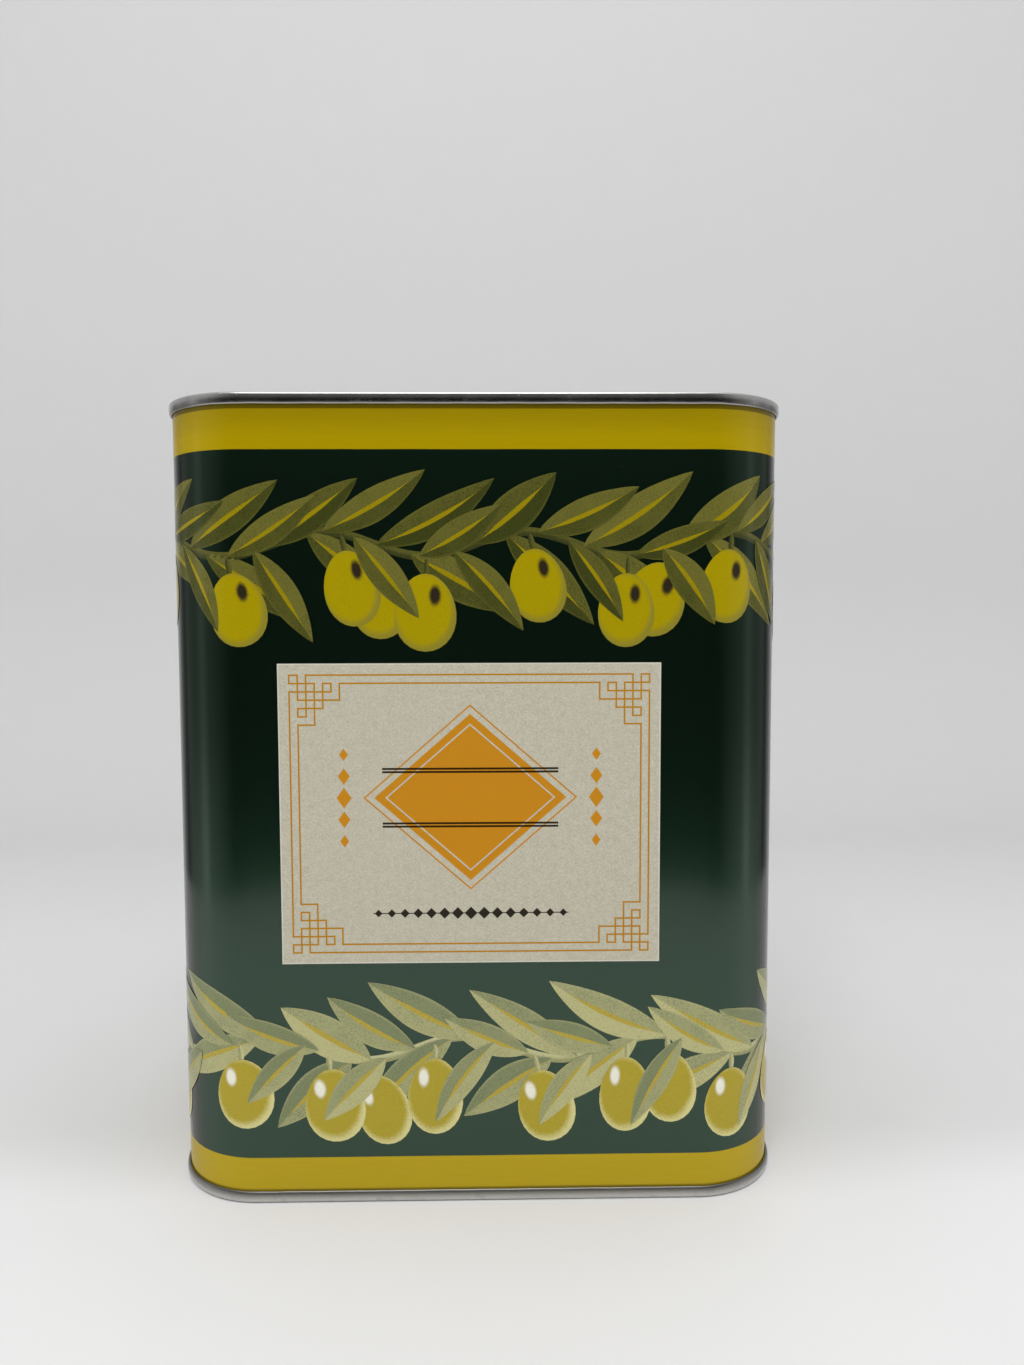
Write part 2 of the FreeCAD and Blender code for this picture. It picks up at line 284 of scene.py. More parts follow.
def joined(*coordinates):
    """Points from one array per coordinate, each spread over the others' axes."""
    return np.stack(np.broadcast_arrays(*coordinates), -1)


def circle(angle):
    """Points of the circle of radius one."""
    return joined(np.cos(angle), np.sin(angle))


def full_turn(steps):
    """Angles of one whole turn, both ends included."""
    return np.linspace(0, 2 * np.pi, steps + 1)


def left_of(heading):
    """Directions a quarter turn to the left."""
    return joined(-heading[..., 1], heading[..., 0])


def bent_line(corners, bends, steps=6):
    """Corner points joined by straight runs, each inner corner rounded by an arc of its bend."""
    corners = np.array(corners, float)
    runs = [corners[:1]]
    for before, corner, after, bend in zip(corners, corners[1:], corners[2:], bends):
        arriving = unit(corner - before)
        leaving = unit(after - corner)
        turn = math.atan2(arriving[0] * leaving[1] - arriving[1] * leaving[0], arriving @ leaving)
        inward = left_of(arriving) * math.copysign(1, turn)
        centre = corner - arriving * bend * math.tan(abs(turn) / 2) + inward * bend
        angles = math.atan2(-inward[1], -inward[0]) + turn * np.linspace(0, 1, steps + 1)
        runs.append(centre + bend * circle(angles))
    line = np.concatenate(runs + [corners[-1:]])
    apart = np.linalg.norm(np.diff(line, axis=0), axis=1) > merge_distance / MM
    return line[np.concatenate([[True], apart])]


def finely(line, longest):
    """The same line with points added evenly, so that no step is longer than longest."""
    counts = np.ceil(np.linalg.norm(np.diff(line, axis=0), axis=1) / longest).astype(int)
    run = np.repeat(np.arange(len(counts)), counts)
    rank = np.arange(counts.sum()) - np.repeat(np.cumsum(counts) - counts, counts)
    share = (rank / counts[run])[:, None]
    return np.concatenate([line[run] + share * (line[run + 1] - line[run]), line[-1:]])


def sheet_sides(line, thickness):
    """Both faces of bent sheet: its middle line moved half the thickness to its left and to its right."""
    left = left_of(unit(np.gradient(line, axis=0))) * thickness / 2
    return line + left, line - left


def closed(rows):
    """Rows with the first one repeated at the end."""
    return np.concatenate([rows, rows[:1]])


def sheet_section(line, thickness):
    """Closed section of bent sheet: along its left face and back along its right face."""
    left, right = sheet_sides(line, thickness)
    return closed(np.concatenate([left, right[::-1]]))


def stepped(across, up):
    """Corners of a line that steps across and up in turn, from the first distance at the first height."""
    across = np.repeat(across, 2)[1:]
    up = np.repeat(up, 2)
    count = min(len(across), len(up))
    return joined(across[:count], up[:count])


def moulded_section(corners, rounding):
    """Closed section through corner points with every corner eased by a small arc."""
    corners = np.array(corners, float)
    start = (corners[-1] + corners[0]) / 2
    return bent_line(np.concatenate([[start], corners, [start]]), [rounding] * len(corners), steps=3)


half_x = body_width / 2 - corner_radius
half_y = body_depth / 2 - corner_radius
corner_arc = math.pi / 2 * corner_radius
wall_runs = [half_x, corner_arc, 2 * half_y, corner_arc, 2 * half_x, corner_arc, 2 * half_y, corner_arc,
             half_x]
wall_knots = np.concatenate([[0], np.cumsum(wall_runs)])
perimeter = wall_knots[-1]
front_middle = perimeter / 2
weld_edge = weld_width / 2 * np.array(weld_shares)


def outline(s):
    """Walk round the tin by path length s, from the weld at the back over left side, front and right side.

    The core point runs along a rectangle inset by the corner radius and waits at each corner while the
    outward direction turns through a quarter, which together make a rounded rectangle.
    """
    core_x = np.interp(s, wall_knots, half_x * np.array([0, -1, -1, -1, -1, 1, 1, 1, 1, 0]))
    core_y = np.interp(s, wall_knots, half_y * np.array([1, 1, 1, -1, -1, -1, -1, 1, 1, 1]))
    turn = np.interp(s, wall_knots, np.pi / 2 * np.array([1, 1, 2, 2, 3, 3, 4, 4, 5, 5]))
    return joined(core_x, core_y), circle(turn)


def wall_swell(s, z):
    """Slow waves of the sheet round the tin and up its height, dying out at both seams."""
    hold = np.sin(np.pi * np.clip((z - seam_height) / (overall_height - 2 * seam_height), 0, 1))
    around = 2 * np.pi * s / perimeter
    return swell * hold * (0.6 * np.sin(3 * around + z / 70 + 0.8) + 0.4 * np.sin(7 * around - z / 45))


def with_height(xy, z):
    """Points over a plan, given their heights."""
    return np.concatenate([xy, np.broadcast_to(z, xy.shape[:-1] + (1,))], -1)


def wall_point(s, z, out):
    """Points of the wall at path length s and height z, moved outwards by out."""
    s, z, out = np.broadcast_arrays(s, z, out)
    core, outward = outline(s)
    level = corner_radius + out + wall_swell(s, z)
    return with_height(core + outward * level[..., None], z[..., None])


def wall_columns():
    """Path lengths of the wall's columns: even along each side, closer round the corners and at the weld."""
    counts = [corner_steps if run == corner_arc else round(run / wall_step) for run in wall_runs]
    spots = [np.linspace(a, b, n, endpoint=False) for a, b, n in zip(wall_knots, wall_knots[1:], counts)]
    return np.unique(np.concatenate(spots + [weld_edge, perimeter - weld_edge, [perimeter]]))


def round_tin(section, s):
    """Section (distance outwards, height) carried round the tin."""
    core, outward = outline(s)
    xy = core + outward * (corner_radius + section[:, 0, None, None])
    return with_height(xy, section[:, 1, None, None])


def turned(section, columns=turn_steps, shape=None):
    """Section (radius, height) turned about the spout's axis; shape adds to the radius by row and angle."""
    angle = full_turn(columns)
    radius = section[:, :1] + (0 if shape is None else shape(section, angle))
    return joined(spout_x + radius * np.cos(angle), radius * np.sin(angle), section[:, 1:])


def helix_ridge(section, angle, start, widths):
    """Height of a helical ridge, 0 to 1: a trapezium across the thread, easing in and out at both ends."""
    root, crest = widths
    ridge = 0
    for turn in range(math.ceil(thread_turns)):
        turns = angle / (2 * np.pi) + turn
        across = np.abs(section[:, 1:] - start - thread_pitch * turns)
        slope = np.clip((root - 2 * across) / (root - crest), 0, 1)
        ends = np.clip(np.minimum(turns, thread_turns - turns) / thread_run_in, 0, 1)
        ridge = np.maximum(ridge, slope * ends)
    return ridge


def grid_quads(shape):
    """Faces of a stack of grids, as numbers of its points."""
    number = np.arange(math.prod(shape)).reshape(shape)
    corners = [number[..., :-1, :-1], number[..., 1:, :-1], number[..., 1:, 1:], number[..., :-1, 1:]]
    return np.stack(corners, -1).reshape(-1, 4)


def new_mesh(name, points, quads, materials):
    """Mesh of four-cornered faces, in metres."""
    mesh = bpy.data.meshes.new(name)
    mesh.from_pydata(points.tolist(), [], quads.tolist())
    for material in materials:
        mesh.materials.append(material)
    return mesh


def add_object(name, data):
    """New object in the scene."""
    made = bpy.data.objects.new(name, data)
    bpy.context.scene.collection.objects.link(made)
    return made


def add_piece(name, patches, materials, body, replaces=(), crease=35, tone=None):
    """Object made of surface patches, each a stack of grids of points with its UV grid and material number.

    The grids' shared borders, closed seams and poles are merged, and each closed shell's faces turned out.
    """
    spots, places, faces, kinds = [], [], [], []
    first = 0
    for points, uv, kind in patches:
        grid = points.reshape((-1,) + points.shape[-3:])
        quads = first + grid_quads(grid.shape[:3])
        first += math.prod(grid.shape[:3])
        spots.append(grid.reshape(-1, 3))
        places.append(np.broadcast_to(uv, grid.shape[:3] + (2,)).reshape(-1, 2))
        faces.append(quads)
        kinds.append(np.full(len(quads), kind))
    faces = np.concatenate(faces)
    mesh = new_mesh(name, np.concatenate(spots) * MM, faces, materials)
    mesh.polygons.foreach_set("material_index", np.concatenate(kinds))
    layer = mesh.uv_layers.new(name="surface")
    layer.uv.foreach_set("vector", np.concatenate(places)[faces.ravel()].astype(np.float32).ravel())
    if tone is not None:
        tones = mesh.attributes.new("tone", "FLOAT", "POINT")
        tones.data.foreach_set("value", tone.astype(np.float32).ravel())
    shell = bmesh.new()
    shell.from_mesh(mesh)
    bmesh.ops.remove_doubles(shell, verts=shell.verts, dist=merge_distance)
    bmesh.ops.recalc_face_normals(shell, faces=shell.faces)
    shell.to_mesh(mesh)
    shell.free()
    mesh.shade_smooth()
    mesh.set_sharp_from_angle(angle=math.radians(crease))
    piece = add_object(name, mesh)
    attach(piece, body)
    if replaces:
        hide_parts(*replaces)
    return piece


def section_uv(points):
    """UV in metres for a swept section: along the sweep across, along the section up."""
    along = np.linalg.norm(np.diff(points, axis=1, prepend=points[:, :1]), axis=-1).cumsum(1)
    up = np.linalg.norm(np.diff(points, axis=0, prepend=points[:1]), axis=-1).cumsum(0)
    return joined(along, up) * MM


def swept(points, kind=0):
    """Patch of a swept section with its own UV."""
    return points, section_uv(points), kind


def add_turned(name, section, material, body, solid, columns=turn_steps, shape=None):
    """Piece turned about the spout's axis from its section."""
    add_piece(name, [swept(turned(section, columns, shape))], [material], body, [solid])


def slab_rim(front, back):
    """Strips that join the four borders of two like grids."""
    borders = [np.s_[0], np.s_[-1], np.s_[:, 0], np.s_[:, -1]]
    return [np.stack([front[border], back[border]]) for border in borders]


# Materials


def srgb(red, green, blue):
    """Linear colour of an sRGB colour given in 0 to 255."""
    share = np.array([red, green, blue]) / 255
    linear = np.where(share > 0.04045, ((share + 0.055) / 1.055) ** 2.4, share / 12.92)
    return (*linear.tolist(), 1.0)


class Value:
    """Output of a node; a sum or comparison with a value or a number adds the node that works it out."""

    def __init__(self, nodes, socket):
        self.nodes = nodes
        self.socket = socket

    def __add__(self, other):
        return self.nodes.maths("ADD", self, other)

    def __sub__(self, other):
        return self.nodes.maths("SUBTRACT", self, other)

    def __rsub__(self, other):
        return self.nodes.maths("SUBTRACT", other, self)

    def __mul__(self, other):
        return self.nodes.maths("MULTIPLY", self, other)

    def __truediv__(self, other):
        return self.nodes.maths("DIVIDE", self, other)

    def __lt__(self, other):
        return self.nodes.maths("LESS_THAN", self, other)

    def __gt__(self, other):
        return self.nodes.maths("GREATER_THAN", self, other)

    def __abs__(self):
        return self.nodes.maths("ABSOLUTE", self)


class Nodes:
    """Places and links the nodes of one tree; an input takes a number, a colour or a value."""

    def __init__(self, tree):
        self.tree = tree

    def feed(self, socket, value):
        if isinstance(value, Value):
            self.tree.links.new(value.socket, socket)
        else:
            socket.default_value = value

    def add(self, kind, inputs=(), **settings):
        made = self.tree.nodes.new("ShaderNode" + kind)
        for name, value in settings.items():
            setattr(made, name, value)
        for key, value in dict(inputs).items():
            self.feed(made.inputs[key], value)
        return made

    def value(self, kind, inputs=(), output=0, **settings):
        return Value(self, self.add(kind, inputs, **settings).outputs[output])

    def values(self, kind, inputs=(), **settings):
        return [Value(self, socket) for socket in self.add(kind, inputs, **settings).outputs]

    def place(self):
        return self.value("TexCoord", output="Object")

    def surface(self):
        return self.value("UVMap", uv_map="surface")

    def split(self, vector):
        return self.values("SeparateXYZ", {0: vector})

    def maths(self, operation, *numbers):
        return self.value("Math", enumerate(numbers), operation=operation)

    def least(self, first, second):
        return self.maths("MINIMUM", first, second)

    def most(self, first, *others):
        for other in others:
            first = self.maths("MAXIMUM", first, other)
        return first

    def length(self, x, y):
        return self.maths("SQRT", x * x + y * y)

    def step(self, value, low, high):
        """0 at low and 1 at high, eased between; low may be the larger."""
        inputs = {"Value": value, "From Min": low, "From Max": high}
        return self.value("MapRange", inputs, interpolation_type="SMOOTHSTEP")

    def rising(self, height, low, high):
        """Step over a height in metres between two heights in millimetres."""
        return self.step(height, low * MM, high * MM)

    def span(self, value, low, high):
        """A value from 0 to 1 spread from low to high."""
        return self.value("MapRange", {"Value": value, "To Min": low, "To Max": high})

    def mix(self, factor, first, second):
        return self.value("Mix", {0: factor, 6: first, 7: second}, 2, data_type="RGBA")

    def stretched(self, vector, *scale):
        return self.value("Mapping", {"Vector": vector, "Scale": scale})

    def noise(self, vector, scale, detail=3.0):
        return self.value("TexNoise", {"Vector": vector, "Scale": scale, "Detail": detail})

    def bump(self, height, depth):
        return self.value("Bump", {"Height": height, "Distance": depth})

    def group(self, tree, *inputs):
        return self.values("Group", enumerate(inputs), node_tree=tree)

    def show(self, shader):
        self.add("OutputMaterial", {"Surface": shader})

    def principled(self, **inputs):
        named = {name.replace("_", " "): value for name, value in inputs.items()}
        self.show(self.value("BsdfPrincipled", named))


def new_material(name):
    """Empty material and its node helper."""
    material = bpy.data.materials.new(name)
    material.use_nodes = True
    material.node_tree.nodes.clear()
    return material, Nodes(material.node_tree)


def new_group(name, inputs, outputs, build):
    """Shader group with named sockets; build lays its nodes from the inputs and returns the outputs."""
    tree = bpy.data.node_groups.new(name, "ShaderNodeTree")
    for label, kind in inputs.items():
        tree.interface.new_socket(label, in_out="INPUT", socket_type="NodeSocket" + kind)
    for label in outputs:
        tree.interface.new_socket(label, in_out="OUTPUT", socket_type="NodeSocketFloat")
    nodes = Nodes(tree)
    given = [Value(nodes, socket) for socket in tree.nodes.new("NodeGroupInput").outputs]
    for socket, value in zip(tree.nodes.new("NodeGroupOutput").inputs, build(nodes, *given[:len(inputs)])):
        nodes.feed(socket, value)
    return tree


def lay_print_grain(nodes, vector):
    """Grain of a printed ink film: a fine dot noise on a slow drift, spread about 0.5."""
    return [nodes.noise(vector, 2600.0, 1.0) * 0.6 + nodes.noise(vector, 180.0) * 0.4]


def lay_dust(nodes, vector, cells, share):
    """Sparse specks of dust: Voronoi cells whose random draw is below the share show a small spot."""
    distance, colour, *unused = nodes.values("TexVoronoi", {"Vector": vector, "Scale": cells})
    chance = nodes.split(colour)[0]
    return [nodes.step(distance, 0.085, 0.045) * (chance < share)]


def lay_rolling(nodes, vector):
    """Rolled tinplate: long streaks along the rolling direction and cloudy tin bloom."""
    streaks = nodes.noise(nodes.stretched(vector, 6.0, 90.0, 90.0), 14.0, 4.0)
    return [streaks, nodes.noise(vector, 120.0, 4.0)]


def lay_moulding(nodes, vector):
    """Moulded plastic: a fine eroded skin for the bump and slow flow clouds for the colour."""
    return [nodes.noise(vector, 1900.0, 2.0), nodes.noise(vector, 90.0, 4.0)]


def lay_bar(nodes, x, y, from_x, from_y, to_x, to_y, half):
    """Printed bar between two points of a square lattice: 1 inside the bar, 0 outside, eased at its edge."""
    beyond = [abs(spot - (start + end) * 0.5) - (end - start) * 0.5
              for spot, start, end in [(x, from_x, to_x), (y, from_y, to_y)]]
    return [nodes.step(nodes.most(*beyond) - half, 0.02, -0.02)]


vector_input = {"Vector": "Vector"}
dust_inputs = {"Vector": "Vector", "Cells": "Float", "Share": "Float"}
bar_inputs = dict.fromkeys(["X", "Y", "From X", "From Y", "To X", "To Y", "Half"], "Float")
print_grain = new_group("print_grain", vector_input, ["Grain"], lay_print_grain)
dust_specks = new_group("dust_specks", dust_inputs, ["Specks"], lay_dust)
rolled_sheet = new_group("rolled_sheet", vector_input, ["Streaks", "Bloom"], lay_rolling)
moulded_skin = new_group("moulded_skin", vector_input, ["Skin", "Clouds"], lay_moulding)
printed_bar = new_group("printed_bar", bar_inputs, ["Ink"], lay_bar)

# Inks and metals; a pair runs from the deep to the light end of its streaks
green_inks = (0.0172, 0.050, 0.0265, 1.0), (0.019, 0.054, 0.029, 1.0)
ochre_inks = (0.436, 0.312, 0.0003, 1.0), (0.516, 0.369, 0.0003, 1.0)
tin_tones = srgb(180, 179, 177), srgb(209, 208, 205)
paper_tones = srgb(145, 139, 117), srgb(224, 220, 201)
cut_paper = srgb(222, 220, 208)
frame_ink = srgb(178, 124, 0)
solid_ink = srgb(196, 131, 0)
rule_ink = srgb(26, 18, 10)
# Colour of the painted shade on the print under the top seam and above the bottom seam
print_shade = srgb(34, 28, 6)
dust = srgb(150, 152, 144)
scuff = srgb(112, 108, 106)
# Colour of the painted shade on the bare seams' hems and foot
seam_shade = srgb(104, 103, 97)
ink_edge_tint = (0.25, 0.25, 0.25, 1.0)
lacquer = 0.87
band_lacquer = 0.62
film_rough = (0.22, 0.34)
print_edge = 0.1
print_waver = 0.07
green_metal = 0.9
band_metal = 0.18
wall_rough = (0.27, 0.29)
dust_cells = 400.0
dust_share = 0.004

# Where painted shade lies on the print and the bare seams: height where each sets in, height where it is
# full, and its share there
rim_hem = overall_height - seam_height
print_shade_lines = [(rim_hem - 1.5, rim_hem - 1.1, 0.72), (seam_height + 0.8, seam_height + 0.3, 0.4),
               (rim_hem - 11.0, rim_hem - 1.0, 0.22)]
low_hem_shade = [(0.25 * seam_height, 0.8 * seam_height), (1.3 * seam_height, 1.1 * seam_height)]
top_hem_shade = [(rim_hem + 1.2, rim_hem + 0.3), (rim_hem - 0.6, rim_hem - 0.2)]
foot_shadow = (0.7, 0.25)


def lacquered(nodes, colour, metal, rough, weight=lacquer):
    """Ink under clear lacquer: the ink itself has hardly a sheen, the lacquer mirrors the room."""
    nodes.principled(Base_Color=colour, Metallic=metal, Roughness=rough, IOR=1.5, Specular_IOR_Level=0.0,
                     Specular_Tint=ink_edge_tint, Coat_Weight=weight, Coat_Roughness=0.14)


def printed_wall():
    """Lacquered print on tinplate: green ground, ochre bands at both ends, bare metal beside the weld."""
    material, nodes = new_material("printed_wall")
    place = nodes.place()
    x, y, z = nodes.split(place)
    height = z + nodes.span(nodes.noise(place, 55.0), -print_waver * MM, print_waver * MM)
    bands = nodes.most(nodes.rising(height, top_band - print_edge, top_band + print_edge),
                       nodes.rising(height, low_band + print_edge, low_band - print_edge))
    streaks = nodes.noise(nodes.stretched(place, 40.0, 40.0, 1400.0), 2.0)
    ink = nodes.mix(bands, nodes.mix(streaks, *green_inks), nodes.mix(streaks, *ochre_inks))
    # Painted shade on the print: a dark line under the top seam with a soft fade below it, and a dark line
    # above the bottom seam
    print_shaded = nodes.most(*[nodes.rising(height, low, high) * share for low, high, share in print_shade_lines])
    ink = nodes.mix(print_shaded, ink, print_shade)
    specks, = nodes.group(dust_specks, place, dust_cells, dust_share)
    beside = nodes.step(abs(x), (weld_margin + print_edge) * MM, (weld_margin - print_edge) * MM)
    bare = beside * (y > 0.0)
    colour = nodes.mix(bare, nodes.mix(specks, ink, dust), tin_tones[1])
    metal = nodes.most(nodes.span(bands, green_metal, band_metal) * nodes.span(specks, 1.0, 0.0), bare)
    rough = nodes.span(streaks, *wall_rough)
    lacquered(nodes, colour, metal, rough, nodes.span(bands, lacquer, band_lacquer))
    return material


def bare_tinplate():
    """Bright tinplate: rolling streaks, bloom, scuffs, and a duller finish on the seams' hems and foot whose
    darker colour is painted shade: a darker reflection on the hems, a contact shadow at the foot.
    """
    material, nodes = new_material("bare_tinplate")
    place = nodes.place()
    height = nodes.split(place)[2]
    streaks, bloom = nodes.group(rolled_sheet, place)
    scuffs = nodes.step(nodes.noise(place, 300.0, 5.0), 0.56, 0.75)
    scuffed = nodes.mix(scuffs * 0.18, nodes.mix((bloom + streaks) * 0.5, *tin_tones), scuff)
    # Painted shade: a darker, rougher tone on the bottom seam's upper part and the top seam's hem stands in
    # for a darker reflection, and the lowest edge paints a contact shadow
    low, top = [nodes.rising(height, *lower) * nodes.rising(height, *upper)
                for lower, upper in (low_hem_shade, top_hem_shade)]
    film = low * 0.7 + top * 0.35 + nodes.rising(height, *foot_shadow) * 0.7
    nodes.principled(Base_Color=nodes.mix(film, scuffed, seam_shade), Metallic=1.0,
                     Roughness=nodes.span(bloom, 0.19, 0.27) + scuffs * 0.1 + film * 0.2,
                     Normal=nodes.bump(streaks, 0.000003))
    return material


# Corner of the label's fret: level runs on a square lattice, from the label's corner inwards, and the same
# runs upright; far stands for the middle of a side
far = 40
level_runs = [(0, 0, 1, 0), (0, 1, 3, 1), (4, 1, 5, 1), (6, 1, far, 1), (2, 0, far, 0), (0, 2, 5, 2),
              (1, 3, 6, 3), (1, 4, 4, 4), (1, 5, 2, 5), (1, 6, 3, 6)]
fret_runs = level_runs + [(from_y, from_x, to_y, to_x) for from_x, from_y, to_x, to_y in level_runs]


def label_paper():
    """Uncoated cream paper with an ochre fret frame, a lozenge under two double rules, studs and a chain."""
    material, nodes = new_material("label_paper")
    across, up, unused = nodes.split(nodes.surface())
    place = nodes.place()
    fibre = nodes.noise(nodes.stretched(place, 1.0, 1.0, 1.4), 2300.0)
    mottle = nodes.noise(place, 420.0)
    side, rise = abs(across), abs(up)
    half_wide, half_tall = float(label_size[0] / 2), float(label_size[2] / 2)
    column = (half_wide - frame_margin - side) / frame_pitch
    row = (half_tall - frame_margin - rise) / frame_pitch
    fret = 0.0
    for run in fret_runs:
        fret = nodes.most(fret, *nodes.group(printed_bar, column, row, *run, frame_line / frame_pitch / 2))

    def studs(run, beside, pitch, count, half):
        """Row of lozenges both ways from the middle, count each way, that get smaller towards its ends."""
        rank = nodes.least(nodes.maths("ROUND", run / pitch), count)
        reach = abs(run - rank * pitch) / half[0] + beside / half[1]
        return nodes.step(reach - (1.0 - rank * (stud_taper / count)), 0.03, -0.03)

    def line(value, middle, half):
        """Thin line where a value passes its middle."""
        return nodes.step(abs(value - middle), half * 1.3, half * 0.8)

    tall = abs(up - medallion_rise)
    lozenge = side / medallion_half[0] + tall / medallion_half[1]
    solid = nodes.step(lozenge, *solid_edge) * (1.0 - line(lozenge, inset_share, lozenge_line))
    beside = studs(tall, abs(side - side_studs), side_stud_pitch, side_stud_count, side_stud_half)
    gold = nodes.most(solid, line(lozenge, ring_share, lozenge_line), beside)
    rule = nodes.least(abs(tall - rule_rise), abs(tall - (rule_rise + rule_gap)))
    rules = nodes.step(rule, *rule_edge) * nodes.step(side, rule_half + 0.05, rule_half - 0.05)
    fallen = abs(up - chain_rise)
    thread = nodes.step(fallen, *thread_edge) * nodes.step(side, chain_reach, chain_reach - 0.3)
    black = nodes.most(rules, thread, studs(side, fallen, chain_pitch, chain_stud_count, chain_stud_half))
    cut = nodes.most(nodes.step(half_wide - side, *cut_edge), nodes.step(half_tall - rise, *cut_edge))
    colour = nodes.mix(cut * 0.6, nodes.mix(fibre * 0.8 + mottle * 0.2, *paper_tones), cut_paper)
    worn = nodes.span(fibre, 0.93, 1.0)
    for printed, ink in [(fret, frame_ink), (gold, solid_ink), (black, rule_ink)]:
        colour = nodes.mix(printed * worn, colour, ink)
    nodes.principled(Base_Color=colour, Roughness=0.82, IOR=1.45, Specular_IOR_Level=0.04,
                     Normal=nodes.bump(fibre, 0.00003))
    return material


def new_ink(name):
    """Material of a printed film: its helper, the two values of its UV and the print's grain."""
    material, nodes = new_material(name)
    first, second, unused = nodes.split(nodes.surface())
    grain, = nodes.group(print_grain, nodes.place())
    return material, nodes, first, second, grain


def leaf_ink(name, shade, light, rib, shine):
    """Printed leaf: halves of two greens, a midrib that tapers towards the tip, a paler rim, dot grain."""
    material, nodes, along, across, grain = new_ink(name)
    tone = nodes.value("Attribute", output="Fac", attribute_name="tone")
    side = across * 2.0 - 1.0
    level = nodes.step(side, -0.12, 0.12) * 0.4 + tone * 0.5 + nodes.span(grain, -0.35, 0.35)
    green = nodes.mix(nodes.step(level, 0.0, 1.0), shade, light)
    green = nodes.mix(nodes.step(abs(side), 0.78, 1.0) * 0.35, green, light)
    taper = nodes.step(along, 0.02, 0.3) * nodes.step(along, 0.9, 0.55)
    midrib = nodes.step(abs(side) / (taper + 0.001), 0.16, 0.1)
    lacquered(nodes, nodes.mix(midrib, green, rib), shine, nodes.span(grain, *film_rough))
    return material


def olive_ink(name, fill, rim, spot, spot_place, spot_size):
    """Printed olive: flat fill with dot grain, a soft rim light low on the right and a soft spot."""
    material, nodes, across, up, grain = new_ink(name)
    x, y = across * 2.0 - 1.0, up * 2.0 - 1.0
    edge = nodes.length(x + 0.07, y - 0.07) + nodes.span(grain, -0.12, 0.12)
    near = nodes.length((x - spot_place[0]) / 0.75, y - spot_place[1]) + nodes.span(grain, -0.06, 0.06)
    colour = nodes.mix(nodes.step(edge, 0.8, 1.06), fill, rim)
    colour = nodes.mix(nodes.step(near, spot_size, spot_size * 0.45), colour, spot)
    lacquered(nodes, colour, 0.1, nodes.span(grain, *film_rough))
    return material


def stem_ink(name, shade, light):
    """Printed stem: light along its upper side and darker below."""
    material, nodes, unused, across, grain = new_ink(name)
    level = nodes.step(across + nodes.span(grain, -0.3, 0.3), 0.2, 0.8)
    lacquered(nodes, nodes.mix(level, shade, light), 0.2, nodes.span(grain, *film_rough))
    return material


def plastic(name, light, shade, rough, skin_depth):
    """Moulded plastic: slow flow clouds in the colour, a fine skin in the gloss."""
    material, nodes = new_material(name)
    skin, clouds = nodes.group(moulded_skin, nodes.place())
    nodes.principled(Base_Color=nodes.mix(nodes.step(clouds, 0.3, 0.7), shade, light), IOR=1.5,
                     Roughness=nodes.span(skin, rough - 0.06, rough + 0.06),
                     Normal=nodes.bump(skin, skin_depth))
    return material


def soft_seal(name, light, shade, cell):
    """Rubber, foam or compound: matt, with small cells in its colour and surface."""
    material, nodes = new_material(name)
    cells = nodes.value("TexVoronoi", {"Vector": nodes.place(), "Scale": 1 / cell / MM}, "Distance")
    nodes.principled(Base_Color=nodes.mix(cells, shade, light), Roughness=0.78, IOR=1.45,
                     Normal=nodes.bump(cells, 0.00003))
    return material


def tinned_wire():
    """Drawn and tinned steel wire: fine die lines and dull handling marks."""
    material, nodes = new_material("tinned_wire")
    marks = nodes.step(nodes.noise(nodes.place(), 160.0, 5.0), 0.5, 0.75)
    lines = nodes.noise(nodes.stretched(nodes.surface(), 40.0, 4000.0, 1.0), 1.0, 2.0)
    nodes.principled(Base_Color=nodes.mix(marks, srgb(186, 185, 182), srgb(132, 130, 128)), Metallic=1.0,
                     Roughness=nodes.span(lines, 0.18, 0.3) + marks * 0.15,
                     Normal=nodes.bump(lines, 0.000008))
    return material


wall_print = printed_wall()
tinplate = bare_tinplate()
paper = label_paper()
spout_white = plastic("spout_polyethylene", srgb(232, 229, 214), srgb(220, 216, 198), 0.36, 0.000012)
cap_ochre = plastic("cap_plastic", srgb(196, 164, 22), srgb(184, 150, 14), 0.33, 0.000012)
grip_green = plastic("grip_plastic", srgb(34, 52, 41), srgb(27, 43, 34), 0.45, 0.00004)
seal_black = soft_seal("gasket_rubber", srgb(52, 52, 52), srgb(38, 38, 38), 0.4)
seal_grey = soft_seal("seam_compound", srgb(132, 132, 128), srgb(112, 112, 108), 0.3)
liner_white = soft_seal("liner_foam", srgb(236, 236, 231), srgb(216, 216, 210), 0.35)
wire_steel = tinned_wire()


# Tin body and ends


def from_top(depth):
    """Height of a point that lies this deep below the top seam's crown."""
    return overall_height - depth


def from_base(depth):
    """Height of a point that lies this far above the bottom seam's crown."""
    return depth


def make_body():
    """Sleeve with a hook at both ends: its sheet section carried round the tin, with waves and the weld."""
    hook = [(body_hook_line, body_hook_tip), (body_hook_line, body_fold_depth), (wall_line, body_fold_depth)]
    path = hook + [(u, overall_height - v) for u, v in reversed(hook)]
    inner, outer = sheet_sides(finely(bent_line(path, [fold_bend] * 4), wall_step), sheet)
    s = wall_columns()
    to_weld = np.minimum(s, perimeter - s)
    at_weld = np.clip((weld_edge[2] - to_weld) / (weld_edge[2] - weld_edge[0]), 0, 1)
    patches = []
    for side, rise, kind in [(outer, weld_rise, 0), (inner, 0, 1), (np.stack([outer[0], inner[0]]), 0, 1),
                             (np.stack([outer[-1], inner[-1]]), 0, 1)]:
        free = np.clip(np.minimum(side[:, 1] - seam_height, overall_height - seam_height - side[:, 1]), 0, 1)
        out = side[:, :1] + rise * free[:, None] * at_weld
        patches.append((wall_point(s, side[:, 1:], out), joined(s, side[:, 1:]) * MM, kind))
    add_piece("printed_body", patches, [wall_print, tinplate], "tin", ["body_shell"])


